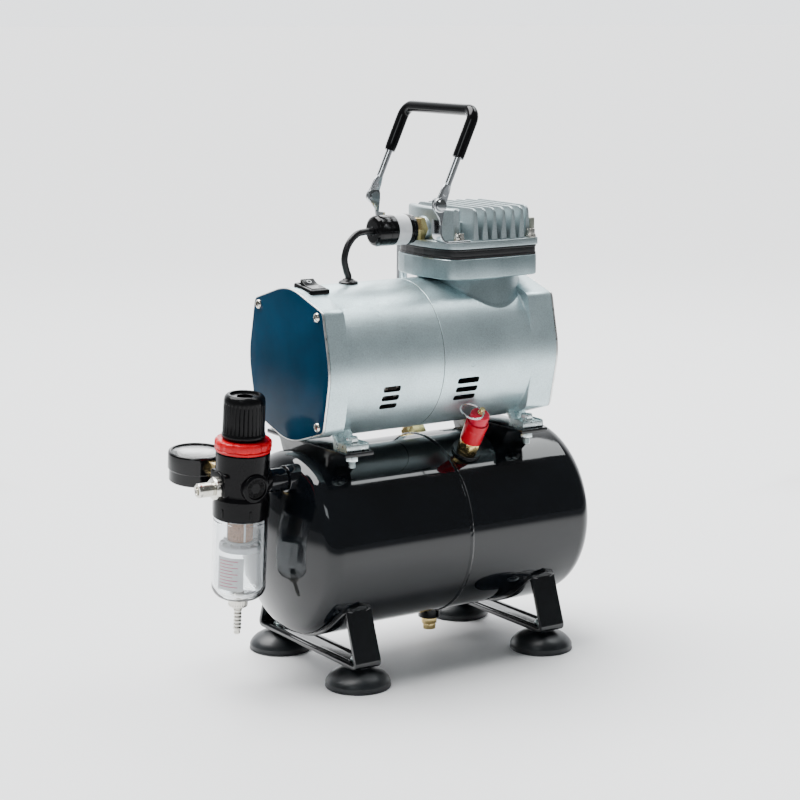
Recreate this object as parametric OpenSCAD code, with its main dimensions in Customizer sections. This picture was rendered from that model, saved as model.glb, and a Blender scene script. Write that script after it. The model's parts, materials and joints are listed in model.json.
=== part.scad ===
// Airbrush compressor: a single-cylinder piston compressor on a small air tank.
// Millimetres, +Z up. The origin lies on the floor under the middle of the whole
// machine. +X points to the compressor head's end, -X to the regulator's end.

/* [Air tank] */
// Outer diameter of the tank
tank_d = 125; // [122:1:126]
// Overall length of the tank over both domes
tank_len = 244; // [242:1:246]
// Height of the tank's axis above the floor
tank_z = 90.5; // [90:0.5:92]
// Thickness of the tank's sheet
tank_wall = 1.6; // [1.2:0.2:2]
// Middle of the tank, measured from the middle between the feet
tank_x = 3.7; // [2:0.1:5]
// Place of the weld seam, measured from the middle between the feet
seam_x = 8.5; // [4:0.5:12]

/* [Legs and feet] */
// Half the distance between the left and the right leg
leg_x = 77; // [76:0.5:78]
// Half the distance between the front and the rear feet
foot_y = 50.5; // [50:0.5:52]
// Width of the leg strap
strap_w = 20; // [18:1:22]
// Thickness of the leg strap
strap_t = 3; // [2.5:0.5:3.5]
// Diameter of a suction foot at the floor
foot_d = 44.2; // [42:0.2:45]
// Height of the strap's underside above the floor
foot_h = 14.5; // [14:0.5:15]

/* [Motor] */
// Height of the motor's axis above the floor
motor_z = 212.2; // [212:0.1:213]
// Outer radius of the motor housing
motor_r = 51; // [51:0.5:52]
// Left end of the housing, behind the end plate
motor_x0 = -97.6; // [-98:0.1:-97]
// Right end of the housing, behind the end plate
motor_x1 = 86; // [86:0.5:87]
// Joint between the two housing halves
split_x = -8; // [-9:0.5:-7]
// Thickness of the end plates
plate_t = 2; // [1.5:0.5:2]
// Wall of the cast housing
cast_wall = 3; // [2.5:0.5:3]

/* [Compressor head] */
// Middle of the cylinder along the machine
head_x = 46.2; // [45.5:0.1:46.5]
// Size of the head along the machine
head_l = 68.6; // [68:0.2:69]
// Size of the head across the machine
head_w = 73.4; // [73:0.2:74]
// Height of the top of the fins
head_top = 312; // [310:0.5:313]
// Throw of the crank
crank_r = 6; // [5:0.5:6]

/* [Handle] */
// Lean of the handle away from upright
handle_lean = 24.7; // [0:0.1:30]
// Length of the handle from its pivots to the top bar
handle_len = 67.7; // [64:0.1:70]
// Half the distance between the two arms
handle_y = 41; // [41:0.5:42]
// Diameter of the sleeve on the handle
grip_d = 8; // [7:0.5:9]

/* [Regulator] */
// Middle of the regulator along the machine
reg_x = -144; // [-146:0.5:-143]
// Middle of the regulator's port across the machine
reg_y = -15; // [-16:0.5:-14]
// Height of the regulator's ports
reg_z = 139; // [138.5:0.5:139.5]
// Lean of the regulator about its port
reg_lean = 5; // [0:0.5:6]
// Tip of the air outlet, measured from the middle between the feet
outlet_x = -177; // [-178:0.5:-176]

/* [Safety valve] */
// Place of the safety valve along the machine
safety_x = 24; // [22:0.5:26]
// Angle of the safety valve from upright, towards the front
safety_a = 30; // [29:0.5:31]

/* [Hidden] */
$fn = 64;

silver = [0.70, 0.73, 0.75];
zinc = [0.80, 0.82, 0.83];
nickel = [0.75, 0.74, 0.70];
chrome = [0.85, 0.86, 0.88];
brass = [0.72, 0.60, 0.30];
steel = [0.55, 0.56, 0.58];
gloss_black = [0.03, 0.03, 0.035];
satin_black = [0.06, 0.06, 0.065];
deep_blue = [0.06, 0.16, 0.24];
signal_red = [0.80, 0.05, 0.10];

// The tank's middle lies this far right of the floor origin
mid_x = (-outlet_x - tank_x - tank_len / 2) / 2;
cut = 1;

// Tank
tank_r = tank_d / 2;
crown_r = tank_d;
knuckle_r = tank_d / 10;
crown_drop = sqrt(pow(crown_r - knuckle_r, 2) - pow(tank_r - knuckle_r, 2));
dome_depth = crown_r - crown_drop;
bead_r = 1.6;
bead_h = 0.7;
bung_r = 10;
bung_h = 2.2;
quarter_thread_r = 6.5;
eighth_thread_r = 4.86;
drain_x = 15.5;
drain_bung_r = 8;
drain_bung_h = 7.5;
inlet_x = 32;
inlet_a = -40;
port_bung_r = 9;
port_bung_x = -112;
check_h = 26;

// Legs
upright_y = 65.5;
saddle_t = 2;
saddle_w = 32;
saddle_a = 58;
foot_neck_r = 8;
foot_rim = 1.6;
foot_screw_r = 2.5;
screw_head_r = 4.5;
screw_head_h = 2.8;

// Motor mounts
mount_x = [-75.5, 68.6];
mount_w = 17.5;
mount_y0 = 34;
mount_y1 = 47;
saddle_top = 159;
mount_t = 4.4;
mount_bolt_y = 41;
mount_bolt_r = 2.5;

// Motor
lobe_y = 38.5;
lobe_z = 36;
lobe_r = 7;
lobe_rise = 0.2;
lobe_left = 15;
lobe_right = 20;
plate_screw = [37.4, 36.2];
shaft_r = 4;
bearing_r = 11;
bearing_w = 7;
stator_x0 = -44;
stator_x1 = -14;
rotor_r = 23.6;
bore_r = motor_r - cast_wall;
vent_a = [16, 23.5, 31];
vent_h = 4.2;

// Head levels, from the housing's flange up to the head plate
flange_z = 264;
deck_z = 278;
plate_z = 285;
cover_z = 290;
head_corner = 6;
fin_corner = 18;
neck_r = 40;
neck_top_r = 34;
liner_r = 25;
liner_wall = 3;
pin_r = 5;
fit = 0.05;
fin_t = 2.4;
fin_pitch = 7.8;
fin_x0 = 28.3;
fin_count = 7;
head_bolt_x = 29.9;
head_bolt_y = 32.5;
head_bolt_r = 1.8;
switch_z = 297;
port_r = 4.9;

// Handle
pivot_x = -6;
pivot_z = 316.5;
rod_r = 2.3;
grip_start = 34;
handle_bend = 8;
eye_t = 2.4;
ear_t = 1.5;
rivet_r = 2;

// Safety valve heights above the tank's surface
hex_top = 10.5;
cup_floor = 20;
sleeve_top = 27;
knob_z0 = 21.5;
knob_top = 34.5;
ring_z = 36.3;
ring_r = 8;
ring_wire = 0.8;
ring_a = 176;

// Regulator heights above its ports
reg_r = 16;
ring_z0 = 18.7;
ring_z1 = 28.8;
knob_z = 30;
knob_z1 = 58.9;
body_z0 = -28.4;
bowl_r = 17;
bowl_wall = 2.2;
bowl_z0 = -80.7;
barb_z = -103.6;
outlet_hex = 5;
gauge_y = 60.7;
gauge_r = 20;
gauge_z0 = -18;
gauge_z1 = 7;

// Entries for the leads in the top and the rear of the motor housing
grommet_x = -52;
grommet_r = 4.5;
gland_x = -70;
gland_z = -8;
gland_r = 5;

// Rocker switch, in a frame that stands on the housing
rocker_x = -85;
rocker_a = 7.9;
bezel_l = 15.1;
bezel_w = 22.5;
bezel_z0 = -1.5;
bezel_top = 2;
well_l = 12.6;
well_w = 19.6;
rocker_pin_z = -1;
rocker_pin_r = 1;

// The short lead's route in the middle plane, from the switch to the motor
lead_r = 2.3;
lead_hole_r = 2.4;
lead_route = [
    [-28, 297], [-33, 297], [-38, 297], [-45.5, 295.5], [-52, 289],
    [-55, 280], [-53.5, 272], [-52, 268], [-52, 265], [-52, 260], [-52, 256]
];

// ---------- shared shapes ----------

module at_mid() {
    translate([mid_x, 0, 0]) children();
}

module at_motor() {
    at_mid() translate([0, 0, motor_z]) children();
}

// A cylinder along X between two places
module rod_x(x0, x1, r) {
    translate([x0, 0, 0]) rotate([0, 90, 0]) cylinder(r = r, h = x1 - x0);
}

module ring_x(x0, x1, r, hole_r) {
    difference() {
        rod_x(x0, x1, r);
        rod_x(x0 - cut, x1 + cut, hole_r);
    }
}

module tube(h, r, hole_r) {
    difference() {
        cylinder(r = r, h = h);
        translate([0, 0, -cut]) cylinder(r = hole_r, h = h + 2 * cut);
    }
}

// A hexagon prism with the given size across its flats
module hexagon(flats, h) {
    cylinder(r = flats / 2 / cos(30), h = h, $fn = 6);
}

module rounded_plate(l, w, h, r) {
    translate([0, 0, h / 2]) {
        cube([l, w - 2 * r, h], center = true);
        cube([l - 2 * r, w, h], center = true);
    }
    for (sx = [-1, 1], sy = [-1, 1])
        translate([sx * (l / 2 - r), sy * (w / 2 - r), 0]) cylinder(r = r, h = h);
}

module mirror_y() {
    children();
    mirror([0, 1, 0]) children();
}

function arc(cx, cy, r, a0, a1, n) =
    [for (i = [0:n]) let (a = a0 + (a1 - a0) * i / n) [cx + r * cos(a), cy + r * sin(a)]];

function flipped(list) = [for (i = [len(list) - 1:-1:0]) list[i]];

// ---------- tank ----------

// Half outline of a domed end, from the cylinder to the axis, set in by a wall
function dome_line(reach, wall) =
    let (lean = atan2(crown_drop, tank_r - knuckle_r))
    concat(
        arc(tank_r - knuckle_r, reach - dome_depth, knuckle_r - wall, 0, lean, 6),
        arc(0, reach - crown_r, crown_r - wall, lean, 90, 8)
    );

module tank_shell(reach) {
    rotate_extrude($fn = 96) polygon(concat(
        [[tank_r, 0]], dome_line(reach, 0),
        flipped(dome_line(reach, tank_wall)), [[tank_r - tank_wall, 0]]
    ));
}

module tank_solid_left() {
    reach = seam_x - tank_x + tank_len / 2;
    translate([seam_x, 0, tank_z]) rotate([0, -90, 0])
        rotate_extrude($fn = 96) polygon(concat([[0, 0], [tank_r, 0]], dome_line(reach, 0)));
}

// Out of the tank's surface at x, turned by an angle from upright to the front
module on_tank(x, a, r = tank_r) {
    translate([x, 0, tank_z]) rotate([a, 0, 0]) translate([0, 0, r]) children();
}

module tank_left() {
    color(gloss_black) at_mid() difference() {
        translate([seam_x, 0, tank_z]) rotate([0, -90, 0])
            tank_shell(seam_x - tank_x + tank_len / 2);
        translate([0, reg_y, reg_z]) rod_x(port_bung_x, port_bung_x + 20, eighth_thread_r);
    }
}

module tank_right() {
    color(gloss_black) at_mid() {
        difference() {
            translate([seam_x, 0, tank_z]) rotate([0, 90, 0])
                tank_shell(tank_x + tank_len / 2 - seam_x);
            on_tank(safety_x, safety_a, tank_r - 5) cylinder(r = quarter_thread_r, h = 10);
            on_tank(inlet_x, inlet_a, tank_r - 5) cylinder(r = quarter_thread_r, h = 10);
            on_tank(drain_x, 180, tank_r - 5) cylinder(r = eighth_thread_r, h = 10);
        }
        // weld bead round the seam
        translate([seam_x - bead_r, 0, tank_z]) ring_x(0, 2 * bead_r, tank_r + bead_h, tank_r);
    }
}

module bung(r, h, hole_r) {
    translate([0, 0, -4]) tube(h + 4, r, hole_r);
}

module tank_bungs() {
    color(gloss_black) at_mid() {
        difference() {
            union() {
                on_tank(safety_x, safety_a) bung(bung_r, bung_h, quarter_thread_r);
                on_tank(inlet_x, inlet_a) bung(bung_r, bung_h, quarter_thread_r);
                on_tank(drain_x, 180) bung(drain_bung_r, drain_bung_h, eighth_thread_r);
            }
            translate([0, 0, tank_z]) rod_x(seam_x, 80, tank_r);
            translate([0, 0, tank_z]) rod_x(seam_x - bead_r, seam_x + bead_r, tank_r + bead_h);
        }
        difference() {
            translate([0, reg_y, reg_z]) ring_x(port_bung_x, -98, port_bung_r, eighth_thread_r);
            tank_solid_left();
        }
    }
}

// ---------- legs and feet ----------

module leg_frame() {
    weld_z = 52;
    weld_y = 49;
    bar_z1 = foot_h + strap_t;
    difference() {
        rotate([90, 0, 90]) translate([0, 0, -strap_w / 2]) linear_extrude(strap_w) polygon([
            [-upright_y, foot_h], [upright_y, foot_h],
            [weld_y + strap_t, weld_z], [weld_y, weld_z],
            [upright_y - strap_t * 1.3, bar_z1], [-upright_y + strap_t * 1.3, bar_z1],
            [-weld_y, weld_z], [-weld_y - strap_t, weld_z]
        ]);
        translate([0, 0, tank_z]) rod_x(-strap_w, strap_w, tank_r + saddle_t);
        for (sy = [-1, 1]) translate([0, sy * foot_y, 0]) cylinder(r = foot_screw_r, h = 30);
    }
    // curved saddle plate under the tank
    translate([-saddle_w / 2, 0, tank_z]) rotate([0, 90, 0]) rotate([0, 0, -saddle_a])
        rotate_extrude(angle = 2 * saddle_a) translate([tank_r, 0]) square([saddle_t, saddle_w]);
}

module leg_frames() {
    color(gloss_black) at_mid() for (sx = [-1, 1]) translate([sx * leg_x, 0, 0]) leg_frame();
}

module at_feet() {
    at_mid() for (sx = [-1, 1], sy = [-1, 1]) translate([sx * leg_x, sy * foot_y, 0]) children();
}

module suction_foot() {
    foot_r = foot_d / 2;
    cup_r = foot_r - foot_rim;
    cup_h = 5;
    rise = foot_h - 3;
    rotate_extrude() polygon(concat(
        [[foot_screw_r, cup_h], [cup_r * 0.6, cup_h * 0.8], [cup_r, 0], [foot_r, 0], [foot_r, 1.2]],
        [for (a = [15:15:75])
            [foot_neck_r + (foot_r - foot_neck_r) * cos(a), 1.2 + (rise - 1.2) * sin(a)]],
        [[foot_neck_r, rise], [foot_neck_r, foot_h], [foot_screw_r, foot_h]]
    ));
}

module suction_feet() {
    color(satin_black) at_feet() suction_foot();
}

module foot_screws() {
    color(zinc) at_feet() {
        translate([0, 0, foot_h - 7]) cylinder(r = foot_screw_r, h = 7 + strap_t);
        translate([0, 0, foot_h + strap_t]) difference() {
            cylinder(r = screw_head_r, h = screw_head_h);
            for (a = [0, 90]) rotate([0, 0, a]) translate([0, 0, screw_head_h])
                cube([6, 1, 2], center = true);
        }
    }
}

// ---------- motor mounts ----------

module at_mounts() {
    at_mid() for (x = mount_x) translate([x, 0, 0]) children();
}

module motor_saddles() {
    half = 51;
    rise = 3;
    color(gloss_black) at_mounts() difference() {
        rotate([90, 0, 90]) translate([0, 0, -11]) linear_extrude(22) polygon([
            [-half, saddle_top - rise], [-half, saddle_top], [half, saddle_top],
            [half, saddle_top - rise], [34, saddle_top - rise],
            [28, 143], [-28, 143], [-34, saddle_top - rise]
        ]);
        translate([0, 0, tank_z]) rod_x(-20, 20, tank_r);
        for (sy = [-1, 1])
            translate([0, sy * mount_bolt_y, saddle_top - 5]) cylinder(r = mount_bolt_r, h = 10);
    }
}

module motor_foot() {
    top = saddle_top + mount_t;
    rise = 12;
    difference() {
        rotate([90, 0, 90]) translate([0, 0, -mount_w / 2]) linear_extrude(mount_w) polygon([
            [-mount_y1, saddle_top], [-mount_y0 - 1.8, saddle_top],
            [-mount_y0 + 6 + rise, saddle_top + rise + 7],
            [-mount_y0 + rise, top + rise], [-mount_y0, top], [-mount_y1, top]
        ]);
        translate([0, 0, motor_z]) rod_x(-20, 20, motor_r);
        translate([0, -mount_bolt_y, saddle_top - 5]) cylinder(r = mount_bolt_r, h = 20);
    }
}

module motor_feet() {
    color(zinc) difference() {
        at_mounts() mirror_y() motor_foot();
        at_motor() {
            lobed_block(motor_x0, motor_x0 + lobe_left);
            lobed_block(motor_x1 - lobe_right, motor_x1);
        }
    }
}

module mount_bolt() {
    head_z = saddle_top + mount_t;
    nut_z = saddle_top - 3;
    translate([0, 0, head_z]) cylinder(r = 5.5, h = 1);
    translate([0, 0, head_z + 1]) hexagon(8, 3);
    translate([0, 0, nut_z - 9]) cylinder(r = mount_bolt_r, h = head_z - nut_z + 9);
    translate([0, 0, nut_z - 1]) tube(1, 5.5, mount_bolt_r);
    translate([0, 0, nut_z - 4.5]) difference() {
        hexagon(8, 3.5);
        translate([0, 0, -cut]) cylinder(r = mount_bolt_r, h = 6);
    }
}

module mount_bolts() {
    color(zinc) at_mounts() for (sy = [-1, 1]) translate([0, sy * mount_bolt_y, 0]) mount_bolt();
}

// ---------- motor housing ----------

// End outline of the housing: a circle with four screw lobes
module lobed_outline() {
    hull() {
        circle(r = motor_r + lobe_rise, $fn = 72);
        for (sy = [-1, 1], sz = [-1, 1])
            translate([sz * lobe_z, sy * lobe_y]) circle(r = lobe_r, $fn = 24);
    }
}

module at_lobes() {
    for (sy = [-1, 1], sz = [-1, 1])
        translate([0, sy * plate_screw[0], sz * plate_screw[1]]) children();
}

module lobed_block(x0, x1) {
    translate([x0, 0, 0]) rotate([0, 90, 0]) linear_extrude(x1 - x0) lobed_outline();
}

// Three ventilation slots, one above the other, in the lower front of the housing
module vents(x, l) {
    half = (l - vent_h) / 2;
    for (a = vent_a) rotate([a, 0, 0]) translate([x, -motor_r, 0]) {
        for (dx = [-half, half])
            translate([dx, 0, 0]) rotate([90, 0, 0]) cylinder(r = vent_h / 2, h = 12, center = true);
        cube([2 * half, 12, vent_h], center = true);
    }
}

module bearing_hub(x, reach) {
    rod_x(x, x + bearing_w, bearing_r + 3);
    for (a = [0:60:300]) rotate([a, 0, 0])
        translate([x + bearing_w / 2, 0, (bearing_r + reach) / 2])
            cube([bearing_w, 5, reach - bearing_r], center = true);
}

module housing_left() {
    hub_x = motor_x0 + cut;
    color(silver) at_motor() difference() {
        union() {
            ring_x(motor_x0, split_x, motor_r, bore_r);
            difference() {
                lobed_block(motor_x0, motor_x0 + lobe_left);
                rod_x(motor_x0 - cut, motor_x0 + lobe_left + cut, bore_r);
            }
            rotate([90, 0, 0]) bearing_hub(hub_x, bore_r + cut);
        }
        rod_x(hub_x - cut, hub_x + bearing_w + cut, bearing_r);
        at_lobes() rod_x(motor_x0 - cut, motor_x0 + 14, 1.5);
        vents(-48.9, 13.5);
        at_rocker() bezel_space();
        translate([grommet_x, 0, 40]) cylinder(r = grommet_r, h = 20);
        translate([gland_x, 40, gland_z]) rotate([-90, 0, 0]) cylinder(r = gland_r, h = 20);
    }
}

// Flared foot of the cylinder, between the flange and the housing
module neck() {
    translate([head_x, 0, 0]) cylinder(r = neck_r, h = 28);
    translate([head_x, 0, 28]) cylinder(r1 = neck_r, r2 = neck_top_r, h = flange_z - motor_z - 28);
}

module housing_right() {
    hub_x = -1;
    color(silver) at_motor() difference() {
        union() {
            rod_x(split_x, motor_x1, motor_r);
            lobed_block(motor_x1 - lobe_right, motor_x1);
            neck();
            translate([head_x, 0, flange_z - motor_z])
                rounded_plate(head_l, head_w, deck_z - flange_z, head_corner);
        }
        difference() {
            rod_x(split_x - cut, motor_x1 + cut, bore_r);
            rotate([90, 0, 0]) bearing_hub(hub_x, bore_r + cut);
        }
        rod_x(hub_x - cut, hub_x + bearing_w + cut, bearing_r);
        translate([head_x, 0, 0]) cylinder(r = liner_r + liner_wall, h = 80);
        at_lobes() rod_x(motor_x1 - 14, motor_x1 + cut, 1.5);
        vents(12.9, 17.6);
        at_head_bolts() translate([0, 0, deck_z - motor_z - 9]) cylinder(r = head_bolt_r, h = 20);
    }
}

module end_plate(x) {
    difference() {
        lobed_block(x, x + plate_t);
        at_lobes() rod_x(x - cut, x + plate_t + cut, 1.5);
    }
}

module end_plate_left() {
    color(deep_blue) at_motor() end_plate(motor_x0 - plate_t);
}

module end_plate_right() {
    color(deep_blue) at_motor() end_plate(motor_x1);
}

// A pan-head screw whose head faces -X
module plate_screw() {
    rod_x(0, 10, 1.5);
    difference() {
        rod_x(-1.8, 0, 3.2);
        for (a = [45, 135]) rotate([a, 0, 0]) translate([-1.8, 0, 0]) cube([2, 0.9, 4], center = true);
    }
}

module end_plate_screws() {
    color(nickel) at_motor() {
        at_lobes() translate([motor_x0 - plate_t, 0, 0]) plate_screw();
        at_lobes() translate([motor_x1 + plate_t, 0, 0]) mirror([1, 0, 0]) plate_screw();
    }
}

// ---------- motor inside ----------

module stator() {
    winding_r = [27, 40];
    color([0.45, 0.40, 0.36]) at_motor() {
        ring_x(stator_x0, stator_x1, bore_r, rotor_r + 0.4);
        ring_x(stator_x0 - 11, stator_x0, winding_r[1], winding_r[0]);
        ring_x(stator_x1, stator_x1 + 8, winding_r[1], winding_r[0]);
    }
}

module rotor() {
    color(steel) at_motor() {
        ring_x(stator_x0, stator_x1, rotor_r, shaft_r);
        ring_x(stator_x0 - 4, stator_x0, rotor_r - 3, shaft_r + 8);
        ring_x(stator_x1, stator_x1 + 4, rotor_r - 3, shaft_r + 8);
    }
}

module crankshaft() {
    web_x = [30, 40];
    color(steel) at_motor() {
        rod_x(motor_x0 + 2, web_x[0], shaft_r);
        rod_x(web_x[0], web_x[1], 17);
        translate([0, 0, crank_r]) rod_x(web_x[1], web_x[1] + 14, pin_r);
    }
}

module bearings() {
    color(steel) at_motor() for (x = [motor_x0 + cut, -1])
        ring_x(x, x + bearing_w, bearing_r, shaft_r + fit);
}

module cooling_fan() {
    color(satin_black) at_motor() {
        ring_x(-89, -79, 9, shaft_r);
        difference() {
            for (a = [0:40:320]) rotate([a, 0, 0]) translate([-84, 0, 20]) rotate([0, 0, 25])
                cube([10, 1.5, 26], center = true);
            rod_x(-92, -76, 8);
        }
    }
}

module connecting_rod() {
    color(silver) at_motor() translate([0, 0, crank_r]) {
        ring_x(41, 51, 11, pin_r + fit);
        translate([head_x, 0, 30]) difference() {
            cube([8, 9, 44], center = true);
            translate([0, 0, -30]) rod_x(-10, 10, 10.5);
        }
    }
}

module piston() {
    color(silver) at_motor() translate([head_x, 0, crank_r + 52]) {
        cylinder(r = 17, h = 3);
        translate([0, 0, 3]) cylinder(r = 18, h = 1.2);
        translate([0, 0, 4.2]) cylinder(r = 14, h = 1.3);
    }
}

module cylinder_liner() {
    color(steel) at_mid() translate([head_x, 0, 232])
        tube(deck_z - 232, liner_r + liner_wall, liner_r);
}

// ---------- compressor head ----------

module at_head_bolts() {
    for (sx = [-1, 1], sy = [-1, 1])
        translate([head_x + sx * head_bolt_x, sy * head_bolt_y, 0]) children();
}

module valve_plate() {
    color(gloss_black) at_mid() difference() {
        translate([head_x, 0, deck_z])
            rounded_plate(head_l - 1, head_w - 1, plate_z - deck_z, head_corner - 0.5);
        at_head_bolts() translate([0, 0, deck_z - cut]) cylinder(r = head_bolt_r, h = 10);
        for (dx = [-12, 12]) translate([head_x + dx, 0, deck_z - cut]) cylinder(r = 3, h = 10);
    }
}

module fins() {
    for (i = [0:fin_count - 1])
        translate([fin_x0 + i * fin_pitch, 0, (cover_z + head_top) / 2])
            cube([fin_t, head_w + 4, head_top - cover_z], center = true);
}

module cylinder_head() {
    wall_x = head_x - head_l / 2;
    end_x = head_x + head_l / 2;
    color(silver) at_mid() difference() {
        union() {
            translate([head_x, 0, plate_z]) rounded_plate(head_l, head_w, cover_z - plate_z, head_corner);
            // fins, the thick wall that carries the pressure switch and the low end wall
            intersection() {
                translate([head_x, 0, plate_z]) rounded_plate(head_l, head_w, 40, fin_corner);
                union() {
                    fins();
                    translate([wall_x, -head_w / 2, plate_z]) cube([4.5, head_w, head_top - plate_z]);
                    translate([end_x - 3, -head_w / 2, plate_z]) cube([3, head_w, 19]);
                }
            }
            // chamber block between the bolts
            translate([head_x, 0, plate_z + 10]) cube([50, 44, 20], center = true);
            translate([0, 0, switch_z]) rod_x(wall_x - 2, wall_x + 16, 9);
            for (x = [32, 62]) translate([x, 10, switch_z]) rotate([-90, 0, 0]) cylinder(r = 7.5, h = 27.5);
        }
        for (dx = [-12, 12]) translate([head_x + dx, 0, plate_z - cut]) cylinder(r = 9, h = 18);
        translate([0, 0, switch_z]) rod_x(wall_x - 10, head_x - 12, port_r);
        for (x = [32, 62]) translate([x, 0, switch_z]) rotate([-90, 0, 0]) cylinder(r = port_r, h = 60);
        at_head_bolts() translate([0, 0, plate_z - cut]) cylinder(r = head_bolt_r, h = 10);
        at_head_bolts() translate([0, 0, cover_z]) cylinder(r = 6, h = 40);
    }
}

module head_bolts() {
    seat = cover_z + ear_t;
    color(nickel) at_mid() {
        at_head_bolts() {
            translate([0, 0, deck_z - 9]) cylinder(r = head_bolt_r, h = seat - deck_z + 9);
            translate([0, 0, seat]) difference() {
                hexagon(6.2, 4.5);
                translate([0, 0, 2.5]) cylinder(r = 1.6, h = 5);
            }
        }
        // washers where no handle bracket lies under the heads
        for (sy = [-1, 1]) translate([head_x + head_bolt_x, sy * head_bolt_y, cover_z])
            tube(ear_t, 3.6, head_bolt_r);
    }
}

module intake_filter() {
    y0 = 37.5;
    color(satin_black) at_mid() translate([62, y0, switch_z]) rotate([-90, 0, 0]) {
        translate([0, 0, -12]) tube(12, port_r, 2.5);
        tube(3, 8, 2.5);
        translate([0, 0, 3]) difference() {
            cylinder(r = 11, h = 15);
            translate([0, 0, 1.5]) cylinder(r = 9.5, h = 12);
            for (a = [0:45:315]) rotate([0, 0, a]) translate([5.5, 0, 14])
                cylinder(r = 1.4, h = 4, center = true);
        }
    }
}

// Union nut, then a bent tube down the rear of the machine to the check valve
module delivery_pipe() {
    pipe_r = 4;
    y0 = 37.5;
    y1 = 60.5;
    bend = 11;
    turn = -inlet_a;
    valve_y = (tank_r + check_h) * sin(turn);
    valve_z = tank_z + (tank_r + check_h) * cos(turn);
    run = (y1 - bend * (1 - cos(turn)) - valve_y) / sin(turn);
    bend_z = valve_z + run * cos(turn) + bend * sin(turn);
    color(chrome) at_mid() translate([inlet_x, 0, 0]) {
        translate([0, y0, switch_z]) rotate([-90, 0, 0]) {
            translate([0, 0, -12]) cylinder(r = port_r, h = 12);
            hexagon(13, 8);
            cylinder(r = pipe_r, h = y1 - bend - y0);
        }
        translate([0, y1 - bend, switch_z - bend]) rotate([0, -90, 0])
            rotate_extrude(angle = 90) translate([bend, 0]) circle(r = pipe_r);
        translate([0, y1, bend_z]) cylinder(r = pipe_r, h = switch_z - bend - bend_z);
        translate([0, y1 - bend, bend_z]) rotate([0, -90, 0]) rotate([0, 0, 90])
            rotate_extrude(angle = turn) translate([bend, 0]) circle(r = pipe_r);
        translate([0, valve_y, valve_z]) rotate([-turn, 0, 0]) cylinder(r = pipe_r, h = run);
    }
}

module check_valve() {
    color(brass) at_mid() on_tank(inlet_x, inlet_a) {
        translate([0, 0, -4]) cylinder(r = quarter_thread_r, h = bung_h + 4);
        translate([0, 0, bung_h]) hexagon(17, 9);
        translate([0, 0, bung_h + 9]) cylinder(r = 6.5, h = 6);
        translate([0, 0, bung_h + 15]) hexagon(12, check_h - bung_h - 15);
    }
}

// ---------- pressure switch ----------

module at_switch() {
    at_mid() translate([0, 0, switch_z]) children();
}

module switch_nipple() {
    face = head_x - head_l / 2 - 2;
    color(brass) at_switch() {
        rod_x(face, face + 12, port_r);
        difference() {
            translate([0.3, 0, 0]) rotate([0, 90, 0]) hexagon(15, face - 0.3);
            rod_x(-5, 5, port_r);
        }
        rod_x(-5, 5, port_r);
    }
}

module pressure_switch() {
    color([0.9, 0.9, 0.9]) at_switch() {
        difference() {
            rod_x(-17, -2.6, 10.4);
            rod_x(-5, 0, port_r);
        }
        ring_x(-2.6, 0.3, 9.6, port_r);
    }
}

module switch_cap() {
    color(gloss_black) at_switch() difference() {
        union() {
            rod_x(-31, -17, 10.4);
            rod_x(-35.4, -31, 8.6);
        }
        rod_x(-40, lead_route[0][0], lead_hole_r);
    }
}

// Smooth curve through the route's points, and a ten-sided tube along it
function blend(p0, p1, p2, p3, t) =
    (2 * p1 + (p2 - p0) * t + (2 * p0 - 5 * p1 + 4 * p2 - p3) * t * t
        + (3 * p1 - p0 - 3 * p2 + p3) * t * t * t) / 2;

function smooth(pts, steps) =
    let (n = len(pts) - 1)
    [for (i = [0:n - 1], k = [0:steps - (i == n - 1 ? 0 : 1)])
        blend(pts[max(i - 1, 0)], pts[i], pts[i + 1], pts[min(i + 2, n)], k / steps)];

module flat_sweep(line, r, sides) {
    n = len(line);
    points = [for (i = [0:n - 1])
        let (t = line[min(i + 1, n - 1)] - line[max(i - 1, 0)], u = t / norm(t))
        for (k = [0:sides - 1]) let (a = 360 * k / sides)
            [line[i][0] - u[1] * r * cos(a), r * sin(a), line[i][1] + u[0] * r * cos(a)]];
    sides_faces = [for (i = [0:n - 2], k = [0:sides - 1]) let (m = (k + 1) % sides)
        [i * sides + k, i * sides + m, (i + 1) * sides + m, (i + 1) * sides + k]];
    first = [for (k = [sides - 1:-1:0]) k];
    last = [for (k = [0:sides - 1]) (n - 1) * sides + k];
    polyhedron(concat(points), concat(sides_faces, [first, last]), convexity = 6);
}

module switch_lead() {
    color(satin_black) at_mid() flat_sweep(smooth(lead_route, 3), lead_r, 10);
}

module lead_grommet() {
    color(satin_black) at_motor() translate([grommet_x, 0, 0]) {
        translate([0, 0, bore_r - 2]) tube(cast_wall + 2, grommet_r, lead_hole_r);
        difference() {
            translate([0, 0, motor_r - 0.5]) tube(2.2, 6.5, lead_hole_r);
            rod_x(-20, 20, motor_r);
            cylinder(r = grommet_r, h = motor_r);
        }
    }
}

// ---------- rocker switch ----------

// The rocker's own frame: Z out of the housing, Y across the machine
module at_rocker() {
    rotate([rocker_a, 0, 0]) translate([rocker_x, 0, motor_r]) children();
}

module bezel_space() {
    translate([0, 0, bezel_z0 + 10]) cube([bezel_l, bezel_w, 20], center = true);
    translate([0, 0, -5]) cube([well_l, well_w, 20], center = true);
}

module rocker_bezel() {
    flange_h = bezel_top - bezel_z0;
    color(gloss_black) at_motor() at_rocker() difference() {
        union() {
            translate([0, 0, bezel_z0 + flange_h / 2]) cube([bezel_l, bezel_w, flange_h], center = true);
            translate([0, 0, bezel_z0 - 6]) cube([well_l, well_w, 12], center = true);
        }
        translate([0, 0, bezel_z0]) cube([well_l - 1.8, well_w - 1.8, 22], center = true);
        translate([0, 0, rocker_pin_z]) rod_x(-6, 6, rocker_pin_r + fit);
    }
}

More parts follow.
